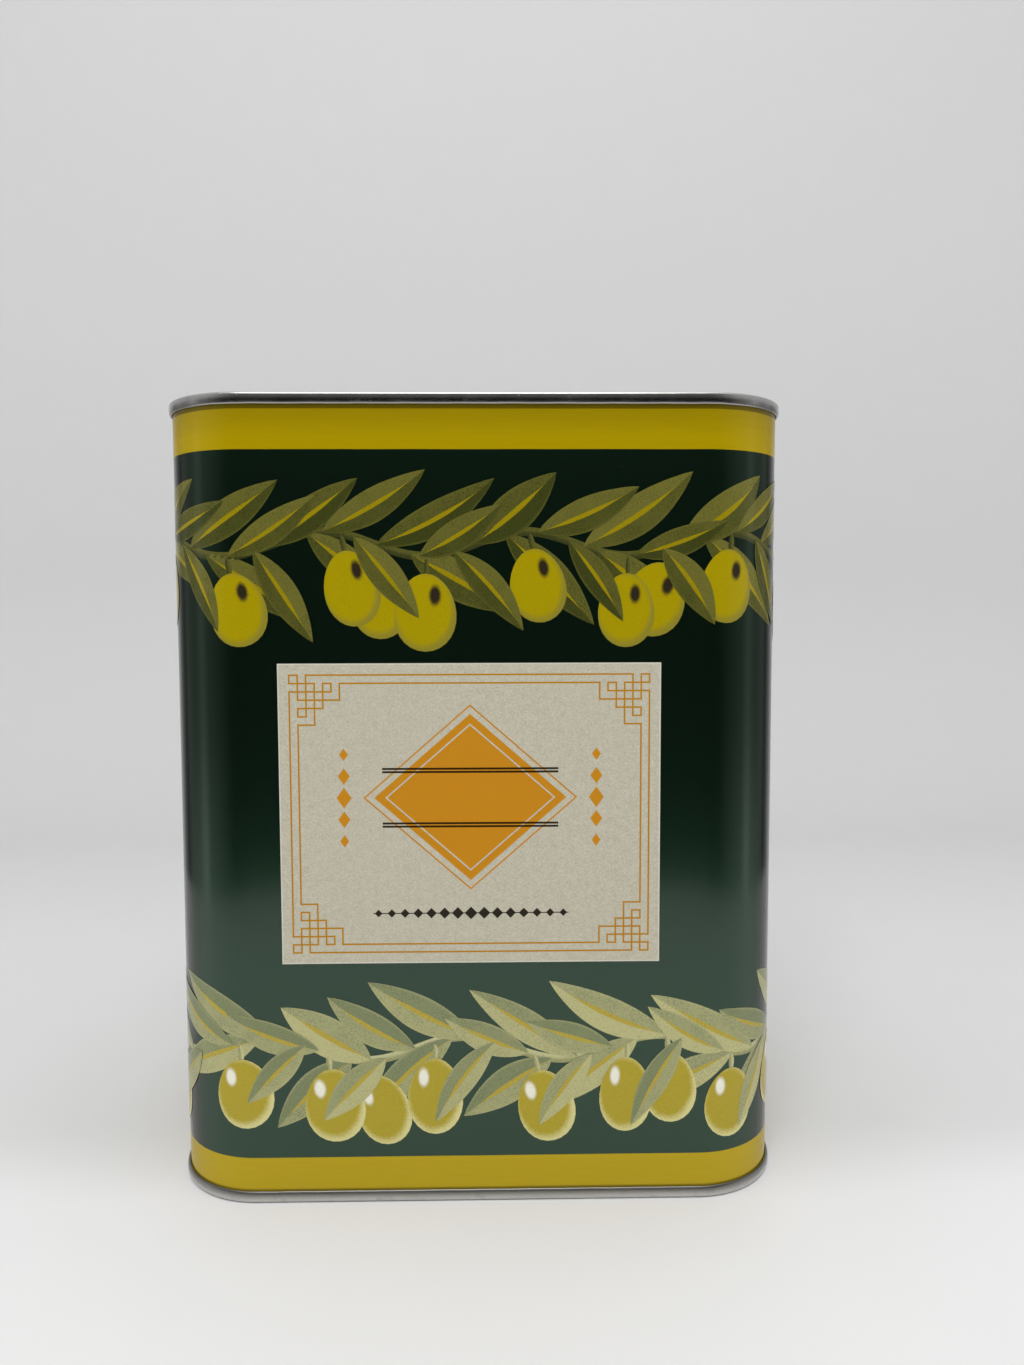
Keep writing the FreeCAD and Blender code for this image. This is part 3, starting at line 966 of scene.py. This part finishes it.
def end_rim(height_of, plate_path):
    """Middle line of an end's rim: cover hook, seam crown, chuck wall, countersink and the panel's edge.

    The seam's outer face is barrelled: it draws in with the square of the distance from its middle, more
    towards the hem than towards the crown.
    """
    path = [(cover_hook_line, cover_hook_tip), (cover_hook_line, cover_fold_depth),
            (seam_outer_line, cover_fold_depth), (seam_outer_line, sheet / 2), (chuck_line, sheet / 2),
            (chuck_line, countersink_depth), (groove_line, countersink_depth),
            (panel_edge_line, panel_depth)] + plate_path
    bends = [fold_bend] * 2 + [crown_outer_bend, crown_inner_bend] + [end_bend] * (len(path) - 6)
    line = finely(bent_line(path, bends), rim_step)
    out = np.clip((line[:, 0] - cover_hook_line) / (seam_outer_line - cover_hook_line), 0, 1)
    share = 2 * line[:, 1] / seam_height - 1
    line[:, 0] -= np.where(share > 0, hem_barrel, crown_barrel) * out * share ** 2
    return joined(line[:, 0], height_of(line[:, 1]))


def wavered(ring, s, height_of):
    """Rim whose rolled edge runs a little unevenly, by sines of path length that close round the tin."""
    edge = height_of(cover_fold_depth)
    near = np.exp(-((ring[..., 2] - edge) / waver_reach) ** 2)
    around = 2 * np.pi * s / perimeter
    wave = 0.5 * np.sin(40 * around) + 0.3 * np.sin(112 * around + 1)
    wave = wave + 0.6 * np.maximum(np.sin(13 * around), 0.6) - 0.36
    lifted = ring.copy()
    lifted[..., 2] += seam_waver * near * wave * np.sign(edge - height_of(0))
    return lifted


def make_top():
    """Top end: the rim round the tin, a panel drawn from its edge to the neck's circle, the curled neck."""
    rim = sheet_sides(end_rim(from_top, [(panel_edge_line - panel_land, panel_depth)]), sheet)
    crown = tin_neck_top - sheet / 2
    middle = panel_top - sheet / 2
    corners = stepped([neck_foot_radius, tin_neck_radius, curl_radius], [middle, crown, curl_tip])
    neck = sheet_sides(bent_line(corners, neck_bends), sheet)
    table = np.linspace(0, perimeter, bearing_steps)
    core, outward = outline(table)
    toward = core + outward * (corner_radius + rim[0][-1, 0]) - [spout_x, 0]
    bearing = np.unwrap(np.arctan2(toward[:, 1], toward[:, 0]))
    even = np.interp(np.linspace(bearing[0], bearing[-1], 2 * turn_steps), bearing, table)
    s = np.sort(np.concatenate([wall_columns(), even]))
    s = s[np.diff(s, prepend=-1) > column_gap]
    s[-1] = perimeter
    faces = []
    for rim_side, neck_side in zip(rim, neck):
        ring = wavered(round_tin(rim_side, s), s, from_top)
        edge = ring[-1, :, :2]
        ray = unit(edge - [spout_x, 0])
        foot = [spout_x, 0] + ray * neck_side[0, 0]
        share = np.linspace(0, 1, panel_rows)[1:-1, None, None]
        flat = with_height(edge + share * (foot - edge), rim_side[-1, 1])
        wall = with_height([spout_x, 0] + ray * neck_side[:, 0, None, None], neck_side[:, 1, None, None])
        faces.append(np.concatenate([ring, flat, wall]))
    shell = closed(np.concatenate([faces[0], faces[1][::-1]]))
    add_piece("tin_top", [swept(shell)], [tinplate], "tin", ["top_end"])


def make_bottom():
    """Bottom end: the rim round the tin and a stepped panel that shrinks to its middle."""
    step_line = panel_edge_line - base_step_inset
    low_line = step_line - base_step_run
    low_depth = panel_depth + base_step_height
    plate = [(step_line, panel_depth), (low_line, low_depth), (low_line - panel_land, low_depth)]
    s = wall_columns()
    faces = []
    for side in sheet_sides(end_rim(from_base, plate), sheet):
        ring = wavered(round_tin(side, s), s, from_base)
        share = np.linspace(1, 0, base_rows)[1:, None, None] * [1, 1, 0] + [0, 0, 1]
        faces.append(np.concatenate([ring, ring[-1] * share]))
    shell = np.concatenate([faces[0][::-1], faces[1]])
    add_piece("tin_bottom", [swept(shell)], [tinplate], "tin", ["bottom_end"])


def make_compound(name, height_of):
    """Bead of compound in a seam: a small eased rectangle carried round the tin."""
    outer = 2 * seam_gap + sheet - compound_gap
    low, high = height_of(compound_low), height_of(compound_top)
    corners = stepped([compound_gap, outer, compound_gap], [low, high])
    bead = round_tin(moulded_section(corners, compound_round), wall_columns())
    add_piece(name + "_bead", [swept(bead)], [seal_grey], "tin", [name])


def make_label():
    """Paper slab that follows the wall: a grid over its width and height, its corners a little lifted."""
    x = np.linspace(label_low[0], label_high[0], label_grid[0])
    z = np.linspace(label_low[2], label_high[2], label_grid[1])[:, None]
    side = np.abs(x - label_centre[0]) / (label_size[0] / 2)
    rise = np.abs(z - label_centre[2]) / (label_size[2] / 2)
    lift = label_lift + corner_lift * (side * rise) ** corner_lift_power
    front = wall_point(front_middle + x, z, lift + label_size[1])
    back = wall_point(front_middle + x, z, lift)
    uv = joined(x - label_centre[0], z - label_centre[2])
    patches = [(front, uv, 0), (back, uv, 0)]
    patches += [(rim, rim_uv, 0) for rim, rim_uv in zip(slab_rim(front, back), slab_rim(uv, uv))]
    add_piece("paper_label", patches, [paper], "tin", ["front_label"])


# Spout, collar and cap


def make_collar():
    """Plastic well and guide that carries the spout."""
    radii = [lip_bore_radius, guide_radius, guide_outer_radius, collar_radius, flange_radius, well_radius,
             lip_bore_radius]
    heights = [floor_underside, guide_bottom, floor_underside, gasket_top, flange_top, well_floor]
    section = moulded_section(stepped(radii, heights), plastic_round)
    add_turned("spout_well", section, spout_white, "tin", "spout_collar")


def make_gasket():
    """Flat rubber seal under the collar's flange."""
    corners = stepped([gasket_bore_radius, flange_radius, gasket_bore_radius], [tin_neck_top, gasket_top])
    section = moulded_section(corners, plastic_round / 2)
    add_turned("flange_seal", section, seal_black, "tin", "collar_gasket")


def make_crimp():
    """Tinplate ring folded over the flange and under the neck's curl, turned about the spout's axis."""
    low = curl_tip - crimp_gap - sheet / 2
    high = flange_top + crimp_gap + sheet / 2
    radii = [crimp_radius - crimp_low_lip, crimp_radius, crimp_radius - crimp_top_lip]
    line = bent_line(stepped(radii, [low, high]), [crimp_gap + sheet / 2] * 2)
    add_turned("crimped_ring", sheet_section(line, sheet), tinplate, "tin", "crimp_ring")


def make_spout():
    """Sliding spout: a turned section with stop bead, shoulder and retaining bead, and its neck's thread."""
    radii = [bore_radius, stop_radius, neck_radius, cap_radius, neck_radius, bead_radius, neck_radius,
             bore_radius]
    heights = [spout_bottom, stop_top, shoulder_bottom, shoulder_top, bead_bottom, bead_top, spout_lip]
    start = [(bore_radius, (spout_bottom + spout_lip) / 2)]
    bends = [plastic_round] * 8 + [bead_round] * 4 + [lip_round] * 2
    line = bent_line(np.concatenate([start, stepped(radii, heights), start]), bends, steps=4)
    line = finely(line, spout_step)

    def thread(section, angle):
        on_neck = np.abs(section[:, :1] - neck_radius) < merge_distance / MM
        return thread_height * on_neck * helix_ridge(section, angle, spout_thread_start, spout_thread_widths)

    add_turned("pull_spout", line, spout_white, "spout", "spout_tube", spout_steps, thread)


def make_tamper_ring():
    """Plain ring left on the neck below the cap."""
    corners = stepped([lip_bore_radius, tamper_radius, lip_bore_radius], [tamper_bottom, tamper_top])
    section = finely(moulded_section(corners, plastic_round), break_step)
    add_turned("break_ring", section, cap_ochre, "spout", "tamper_ring")


def make_liner():
    """Foam disc in the cap: a section turned from pole to pole."""
    corners = stepped([0, liner_radius, 0], [liner_bottom, liner_top])
    section = finely(bent_line(corners, [plastic_round] * 2), liner_step)
    add_turned("sealing_disc", section, liner_white, "cap_seal", "cap_liner")


def make_cap():
    """Ribbed cap: a section from ceiling pole to top pole, ribs outside its wall and a thread inside."""
    corners = stepped([0, cap_bore_radius, cap_radius, 0], [cap_ceiling, cap_bottom, cap_top])
    line = finely(bent_line(corners, cap_bends), cap_step)
    rank = np.arange(len(line))
    bottom = rank[line[:, 1] <= cap_bottom + merge_distance / MM]
    outside = rank > bottom.mean()

    def relief(section, angle):
        turn = angle * rib_count / (2 * np.pi)
        away = np.abs(turn - np.round(turn))
        ribs = np.clip((rib_foot_share / 2 - away) / ((rib_foot_share - rib_crest_share) / 2), 0, 1)
        wall = np.clip((section[:, :1] - cap_radius) / rib_run_out + 1, 0, 1) * outside[:, None]
        bore = (np.abs(section[:, :1] - cap_bore_radius) < merge_distance / MM) & ~outside[:, None]
        thread = helix_ridge(section, angle, cap_thread_start, cap_thread_widths)
        return rib_height * wall * ribs - thread_height * bore * thread

    columns = rib_count * rib_steps
    add_turned("ribbed_cap", line, cap_ochre, "cap", "screw_cap", columns, relief)


# Handle


def make_wire():
    """Bail of round wire: a circle carried along its bent path, easing to a pole at both cut ends."""
    corners = stepped([arm_left + stub_length, arm_left, arm_right, arm_right - stub_length],
                      [0, handle_reach, 0])
    bends = [pivot_bend, corner_bend, corner_bend, pivot_bend]
    line = finely(bent_line(corners, bends, steps=12), wire_step)
    heading = unit(np.gradient(line, axis=0))
    inset, share = np.array(wire_end).T
    line = np.concatenate([line[:1] + inset[:, None] * heading[:1], line[1:-1],
                           line[-1:] - inset[::-1, None] * heading[-1:]])
    heading = np.pad(heading, [(len(inset) - 1, len(inset) - 1), (0, 0)], mode="edge")
    radius = wire_radius * np.concatenate([share, np.ones(len(line) - 2 * len(share)), share[::-1]])
    angle = full_turn(wire_steps)
    across = radius[:, None] * np.cos(angle)
    xy = line[:, None] + left_of(heading)[:, None] * across[..., None]
    points = with_height(xy, (pivot_height + radius[:, None] * np.sin(angle))[..., None])
    add_piece("bail_wire", [swept(points)], [wire_steel], "handle", ["handle_wire"])


def make_grip():
    """Sleeve on the bail: an eased section turned about the wire, with a faint parting line on two sides."""
    start = arm_left + corner_bend + grip_gap
    end = arm_right - corner_bend - grip_gap
    middle = (start + end) / 2
    corners = stepped([middle, start, end, middle], [grip_bore, grip_radius, grip_bore])
    line = finely(bent_line(corners, [grip_end_bend, grip_round, grip_round, grip_end_bend]), grip_step)
    angle = full_turn(grip_steps)
    parting = parting_height * np.exp(-(np.sin(angle) / parting_width) ** 2) * (line[:, 1:] > grip_bore + 1)
    radius = line[:, 1:] + parting
    points = joined(line[:, :1], handle_reach + radius * np.cos(angle),
                    pivot_height + radius * np.sin(angle))
    add_piece("grip_sleeve", [swept(points)], [grip_green], "handle", ["handle_grip"])


def make_lug(name, x):
    """Strap folded round the pivot: a bent line with thickness, drawn across the strap's width."""
    half = lug_strap / 2
    eye_height = pivot_height - panel_top
    throat = eye_height - eye_radius - half - lug_throat
    inset = half + lug_gap / 2
    foot = bent_line([(-lug_foot / 2, half), (-inset, half), (-inset, throat)], [lug_bend])
    angle = np.radians(np.linspace(*eye_turn, eye_steps + 1))
    eye = circle(angle) * (eye_radius + half) + [0, eye_height]
    line = np.concatenate([foot, eye, foot[::-1] * [-1, 1]])
    across, ease = np.array(lug_edges).T

    def spread(side):
        rows = line[:, None] + (side - line)[:, None] * ease[:, None]
        return joined(x + lug_width * across, rows[..., 0], rows[..., 1] + panel_top)

    outer, inner = [spread(side) for side in sheet_sides(line, lug_strap)]
    patches = [swept(grid) for grid in [outer, inner] + slab_rim(outer, inner)]
    add_piece(name + "_strap", patches, [tinplate], "tin", [name])


# Printed borders


def per_film(rows):
    """Rows of one value per film, shaped to meet the film's own grid."""
    return np.array(rows)[:, :, None, None]


def laid(base_s, base_z, angle, along, aside, layer, depth, uv):
    """Films on the wall: distances along and aside of each base point, turned by its angle, in its layer."""
    s = base_s + along * np.cos(angle) - aside * np.sin(angle)
    z = base_z + along * np.sin(angle) + aside * np.cos(angle)
    return wall_point(s, z, print_lift + print_layer * layer - depth), joined(*uv)


def blades(films, rows=19):
    """Lance-shaped films, one per base point: a bowed centre line, a half-width of sin(pi t) to a power.

    Each is a closed lens: seven columns across its front, one behind, and a pole at both tips.
    """
    base_s, base_z, angle, length, width, bow, layer = per_film(films)
    t = np.linspace(0, 1, rows)[:, None]
    across = np.array([-1.0, -0.67, -0.33, 0.0, 0.33, 0.67, 1.0, 0.0, -1.0])
    depth = np.array([0.5, 0.0, 0.0, 0.0, 0.0, 0.0, 0.5, 1.0, 0.5])
    depth = ink_film * np.where((t > 0) & (t < 1), depth, 0.5)
    half = width / 2 * np.sin(np.pi * t ** 0.9) ** 0.85
    aside = bow * t * (1 - t) * length + half * across
    return laid(base_s, base_z, angle, t * length, aside, layer, depth, (t, (across + 1) / 2))


def drops(films):
    """Olive-shaped films: rings from the middle to the rim and back behind it, a bit fuller at the foot."""
    middle_s, middle_z, wide, tall, tilt, layer = per_film(films)
    ring = np.array([0.0, 0.25, 0.48, 0.68, 0.86, 1.0, 0.5, 0.0])[:, None]
    depth = np.array([0.0, 0.0, 0.0, 0.0, 0.0, 0.5, 1.0, 1.0])[:, None] * ink_film
    angle = full_turn(drop_steps)
    x = ring * np.cos(angle) * (1 - 0.1 * np.sin(angle))
    y = ring * np.sin(angle)
    uv = (x + 1) / 2, (y + 1) / 2
    return laid(middle_s, middle_z, tilt, wide / 2 * x, tall / 2 * y, layer, depth, uv)


# Leaves of half a swing of the stem: place along it in shares, angle in degrees, length, width and layer
sprig_leaves = [(0.05, 38, 36, 11.0, 1.5), (0.55, 27, 31, 9.5, 4.5), (0.30, -36, 34, 10.5, 0.5),
                (0.86, -56, 28, 9.0, 5.5)]
olive_wide = 17.0
olive_tall = 22.5
olive_layer = 3.5
pair_layer = 2.5
pair_apart = 12.0
pair_room = 10.0
stalk_length = 7.0
stalk_overlap = 2.0
stalk_width = 1.9
stalk_bow = 0.1
stalk_layer = 0.6
stalk_rows = 7
stem_width = 2.6
stem_ease = 12.0
tip_room = 0.4
leaf_clear = weld_margin + 4
olive_clear = weld_margin + 14
stem_clear = weld_margin + 2


def make_border(name, room, phase, heading, leaf, olive, stem, draw):
    """Running border round the tin: a stem that is a sine wave, leaves on both sides and olives under it.

    It grows the way of heading, and leaves are turned back where their tips would leave the border's room.
    """
    low, high = room
    wave = 2 * np.pi * scroll_count / perimeter

    def stem_height(s):
        return low + stem_share * (high - low) + scroll_swing * np.sin(wave * s + phase)

    half_swing = np.pi / wave
    swings = np.arange(2 * scroll_count)
    along, angle, length, width, layer = np.tile(np.array(sprig_leaves), (len(swings), 1)).T
    along = along + draw.uniform(-0.1, 0.1, len(along))
    walked = (np.repeat(swings, len(sprig_leaves)) + along) * half_swing
    base = front_middle + heading * (walked - front_middle)
    length = length * draw.uniform(0.86, 1.14, len(base))
    width = width * draw.uniform(0.88, 1.1, len(base))
    angle = np.radians(angle + draw.uniform(-11, 11, len(base)))
    rise = np.clip((high - stem_height(base) - tip_room * width) / length, 0, 1)
    fall = np.clip((stem_height(base) - low - tip_room * width) / length, 0, 1)
    angle = np.clip(angle, -np.arcsin(fall), np.arcsin(rise))
    bow = -heading * np.sign(angle) * draw.uniform(0.02, 0.22, len(base))
    angle = np.where(heading > 0, angle, np.pi - angle)
    tip = base + length * np.cos(angle)
    kept = (np.minimum(base, tip) > leaf_clear) & (np.maximum(base, tip) < perimeter - leaf_clear)
    leaves = np.array([base, stem_height(base), angle, length, width, bow, layer])[:, kept]
    points, uv = blades(leaves)
    tone = np.broadcast_to(draw.uniform(0, 1, kept.sum())[:, None, None], points.shape[:3])
    add_piece(name + "_leaves", [(points, uv, 0)], [leaf], "tin", tone=tone)

    hang = (swings + 0.55 + draw.uniform(-0.12, 0.12, len(swings))) * half_swing
    hang = hang[(hang > olive_clear) & (hang < perimeter - olive_clear - pair_room)]
    pairs = hang[1::3] + pair_apart
    layer = np.concatenate([olive_layer + 0 * hang, pair_layer + 0 * pairs])
    hang = np.concatenate([hang, pairs])
    tilt = draw.uniform(-0.3, 0.3, len(hang))
    wide = olive_wide * draw.uniform(0.92, 1.06, len(hang))
    tall = olive_tall * draw.uniform(0.94, 1.04, len(hang))
    reach = np.minimum(stalk_length + tall / 2 - stalk_overlap, stem_height(hang) - low - tall / 2)
    middle_s = hang + reach * np.sin(tilt)
    middle_z = stem_height(hang) - reach * np.cos(tilt)
    points, uv = drops([middle_s, middle_z, wide, tall, tilt, layer])
    add_piece(name + "_olives", [(points, uv, 0)], [olive], "tin")

    s = np.linspace(stem_clear, perimeter - stem_clear, stem_steps)[:, None]
    across = np.array([-1.0, 0.0, 1.0, 0.0, -1.0])
    ends = np.clip(np.minimum(s - s[0], s[-1] - s) / stem_ease, 0, 1)
    z = stem_height(s) + across * stem_width / 2 * ends
    lift = print_lift - np.array([0.5, 0.0, 0.5, 1.0, 0.5]) * ink_film
    run = wall_point(s, z, lift)
    run_uv = joined(s * MM, (across + 1) / 2)
    stalks = np.broadcast_arrays(hang, stem_height(hang), tilt - np.pi / 2, stalk_length, stalk_width,
                                 stalk_bow, stalk_layer)
    patches = [(run, run_uv, 0), (*blades(stalks, stalk_rows), 0)]
    add_piece(name + "_stem", patches, [stem], "tin")


# Stage, lights and camera, in metres and degrees

stage_width = 6.0
floor_front = -3.0
floor_back = 0.42
sweep_radius = 0.22
sweep_top = 3.0
sweep_step = 0.1
sweep_columns = 9
floor_shade_turn = (-0.068, -0.015)
wall_shade_turn = (0.05, floor_back + 0.1)
turn_share = 0.55
fade_reach = (0.8, 1.8)
floor_colour = srgb(244, 244, 245)
shaded_wall_colour = srgb(215, 215, 215)
surround_light = 0.46
surround_seen = 0.64

# Reflection screen: tones by bearing from the front, and those of its upper part, which the top rim mirrors
screen_distance = 0.42
screen_foot = 0.002
screen_height = 0.5
screen_reach = 128
screen_columns = 65
screen_tones = [(39, 0.004), (43, 0.045), (50, 0.09), (60, 0.165), (65, 0.16), (72, 0.42), (76, 0.38),
                (81, 0.21), (91, 0.21), (98, 0.31), (107, 0.09), (113, 0.22), (122, 0.5)]
upper_start = (0.27, 0.33)
upper_bearings = (22, 62)
upper_tones = (0.08, 0.52)
foot_start = (0.13, 0.01)
foot_bearings = (100, 84)
foot_strength = 2.2

# Lights: place, size, power and whether gloss shows it
light_aim = (0, 0, 0.12)
lights = {"overhead": ((0.05, -0.1, 1.5), 1.2, 4.5, True),
          "key": ((-0.12, -1.0, 1.35), 0.8, 8.6, True),
          "left_fill": ((-1.1, -0.35, 0.45), 0.8, 2.0, False),
          "right_fill": ((1.1, -0.35, 0.45), 0.8, 2.0, False)}

camera_place = (0.00568, -0.35203, 0.17586)
camera_turn = -0.98
camera_pitch = 90 - 3.89
camera_roll = -0.166
lens_length = 26.12
sensor_size = 36.0


def add_stage(name, points, material):
    """Open sheet of the stage from one grid of points."""
    mesh = new_mesh(name, points.reshape(-1, 3), grid_quads(points.shape[:2]), [material])
    mesh.shade_smooth()
    surface = add_object(name, mesh)
    return surface


def looked_at(nodes):
    """1 for rays from the camera and from gloss or glass, 0 for the rays that carry light."""
    path = nodes.add("LightPath").outputs
    kinds = ("Camera", "Glossy", "Transmission")
    return nodes.most(*[Value(nodes, path[f"Is {kind} Ray"]) for kind in kinds])


def make_sweep():
    """Pale paper sweep: a floor, a quarter round and a wall behind, drawn across its width; painted shade
    darkens the floor from just in front of the tin backwards, and the wall more.

    Far from the tin the eye sees it fade into the surround's tone.
    """
    corner = floor_back + sweep_radius
    corners = [(floor_front, 0), (corner, 0), (corner, sweep_top)]
    line = finely(bent_line(corners, [sweep_radius], steps=24), sweep_step)
    width = np.linspace(-stage_width / 2, stage_width / 2, sweep_columns)[:, None]
    points = joined(width, line[:, 0], line[:, 1])
    material, nodes = new_material("sweep_paper")
    place = nodes.place()
    x, y, unused = nodes.split(place)
    # Painted shade: the floor darkens from just in front of the tin backwards and the wall is darker still,
    # where less light falls
    back = nodes.step(y, *floor_shade_turn) * turn_share + nodes.step(y, *wall_shade_turn) * (1 - turn_share)
    fibre = nodes.span(nodes.noise(place, 30.0, 4.0), -0.05, 0.05)
    colour = nodes.mix(back + fibre, floor_colour, shaded_wall_colour)
    matt = nodes.value("BsdfPrincipled", {"Base Color": colour, "Roughness": 0.9})
    haze = nodes.value("Emission", {"Color": (surround_seen, surround_seen, surround_seen, 1.0)})
    faded = looked_at(nodes) * nodes.step(nodes.length(x, y), *fade_reach)
    nodes.show(nodes.value("MixShader", {0: faded, 1: matt, 2: haze}))
    add_stage("paper_sweep", points, material)


def make_screen():
    """Screen that only reflections see: an upright band, dark in front of the tin, with grey strips beside.

    The strips get brighter towards the floor, and its upper part has tones of its own for the top rim.
    """
    angle = np.radians(np.linspace(-screen_reach, screen_reach, screen_columns))[:, None]
    points = joined(np.sin(angle) * screen_distance, -np.cos(angle) * screen_distance,
                    [screen_foot, screen_height])
    material, nodes = new_material("screen_tones")
    x, y, z = nodes.split(nodes.place())
    bearing = abs(nodes.maths("DEGREES", nodes.maths("ARCTAN2", x, y * -1.0)))
    ramp = nodes.add("ValToRGB", {0: bearing / 180})
    stops = ramp.color_ramp.elements
    for degrees, tone in screen_tones[2:]:
        stops.new(degrees / 180)
    for stop, (degrees, tone) in zip(stops, screen_tones):
        stop.position = degrees / 180
        stop.color = (tone, tone, tone, 1)
    upper = nodes.span(nodes.step(bearing, *upper_bearings), *upper_tones)
    tone = nodes.mix(nodes.step(z, *upper_start), Value(nodes, ramp.outputs[0]), upper)
    foot = nodes.step(z, *foot_start) * nodes.step(bearing, *foot_bearings)
    strength = nodes.span(foot, 1.0, foot_strength)
    nodes.show(nodes.value("Emission", {"Color": tone, "Strength": strength}))
    screen = add_stage("reflection_screen", points, material)
    screen.visible_camera = False
    screen.visible_diffuse = False
    screen.visible_shadow = False


def add_light(name, place, size, power, shown):
    """Square soft light at a place, turned to face the tin; one that isn't shown makes no highlight."""
    light = bpy.data.lights.new(name, "AREA")
    light.size = size
    light.energy = power
    lamp = add_object(name, light)
    lamp.location = place
    lamp.visible_glossy = shown
    lamp.rotation_euler = (Vector(light_aim) - Vector(place)).to_track_quat("-Z", "Y").to_euler()


def make_world():
    """Even pale surround; what the camera and reflections see of it is paler than its light."""
    world = bpy.data.worlds.new("studio")
    world.use_nodes = True
    bpy.context.scene.world = world
    nodes = Nodes(world.node_tree)
    tone = nodes.span(looked_at(nodes), surround_light, surround_seen)
    nodes.feed(world.node_tree.nodes["Background"].inputs["Color"], tone)


def make_camera():
    """Camera in front of the tin, below the height of its top rim, turned slightly right, down and over."""
    lens = bpy.data.cameras.new("camera")
    lens.sensor_width = sensor_size
    lens.lens = lens_length
    camera = add_object("camera", lens)
    camera.location = camera_place
    turn = Matrix.Rotation(math.radians(camera_turn), 3, "Z")
    pitch = Matrix.Rotation(math.radians(camera_pitch), 3, "X")
    roll = Matrix.Rotation(math.radians(camera_roll), 3, "Z")
    camera.rotation_euler = (turn @ pitch @ roll).to_euler()
    bpy.context.scene.camera = camera


make_body()
make_top()
make_bottom()
make_compound("top_seam_compound", from_top)
make_compound("bottom_seam_compound", from_base)
make_label()
make_collar()
make_gasket()
make_crimp()
make_spout()
make_tamper_ring()
make_liner()
make_cap()
make_wire()
make_grip()
for lug_name, lug_x in lug_places.items():
    make_lug(lug_name, lug_x)

sprig_draw = np.random.default_rng(sprig_seed)
top_leaf = leaf_ink("top_leaf_ink", srgb(72, 77, 31), srgb(129, 125, 56), srgb(174, 154, 14), 0.3)
top_olive = olive_ink("top_olive_ink", srgb(174, 155, 2), srgb(146, 136, 46), srgb(50, 42, 28),
                      (0.3, 0.45), 0.34)
top_stem = stem_ink("top_stem_ink", srgb(66, 70, 34), srgb(98, 98, 44))
make_border("top_border", top_border, 0.0, 1, top_leaf, top_olive, top_stem, sprig_draw)
low_leaf = leaf_ink("low_leaf_ink", srgb(120, 129, 88), srgb(187, 183, 128), srgb(178, 158, 48), 0.25)
low_olive = olive_ink("low_olive_ink", srgb(172, 154, 26), srgb(212, 205, 140), srgb(238, 236, 220),
                      (-0.42, 0.5), 0.32)
low_stem = stem_ink("low_stem_ink", srgb(150, 150, 100), srgb(192, 190, 140))
make_border("low_border", low_border, 2.0, -1, low_leaf, low_olive, low_stem, sprig_draw)

make_sweep()
make_screen()
make_world()
for light_name, light_settings in lights.items():
    add_light(light_name, *light_settings)
make_camera()
bpy.context.scene.view_settings.view_transform = "Standard"
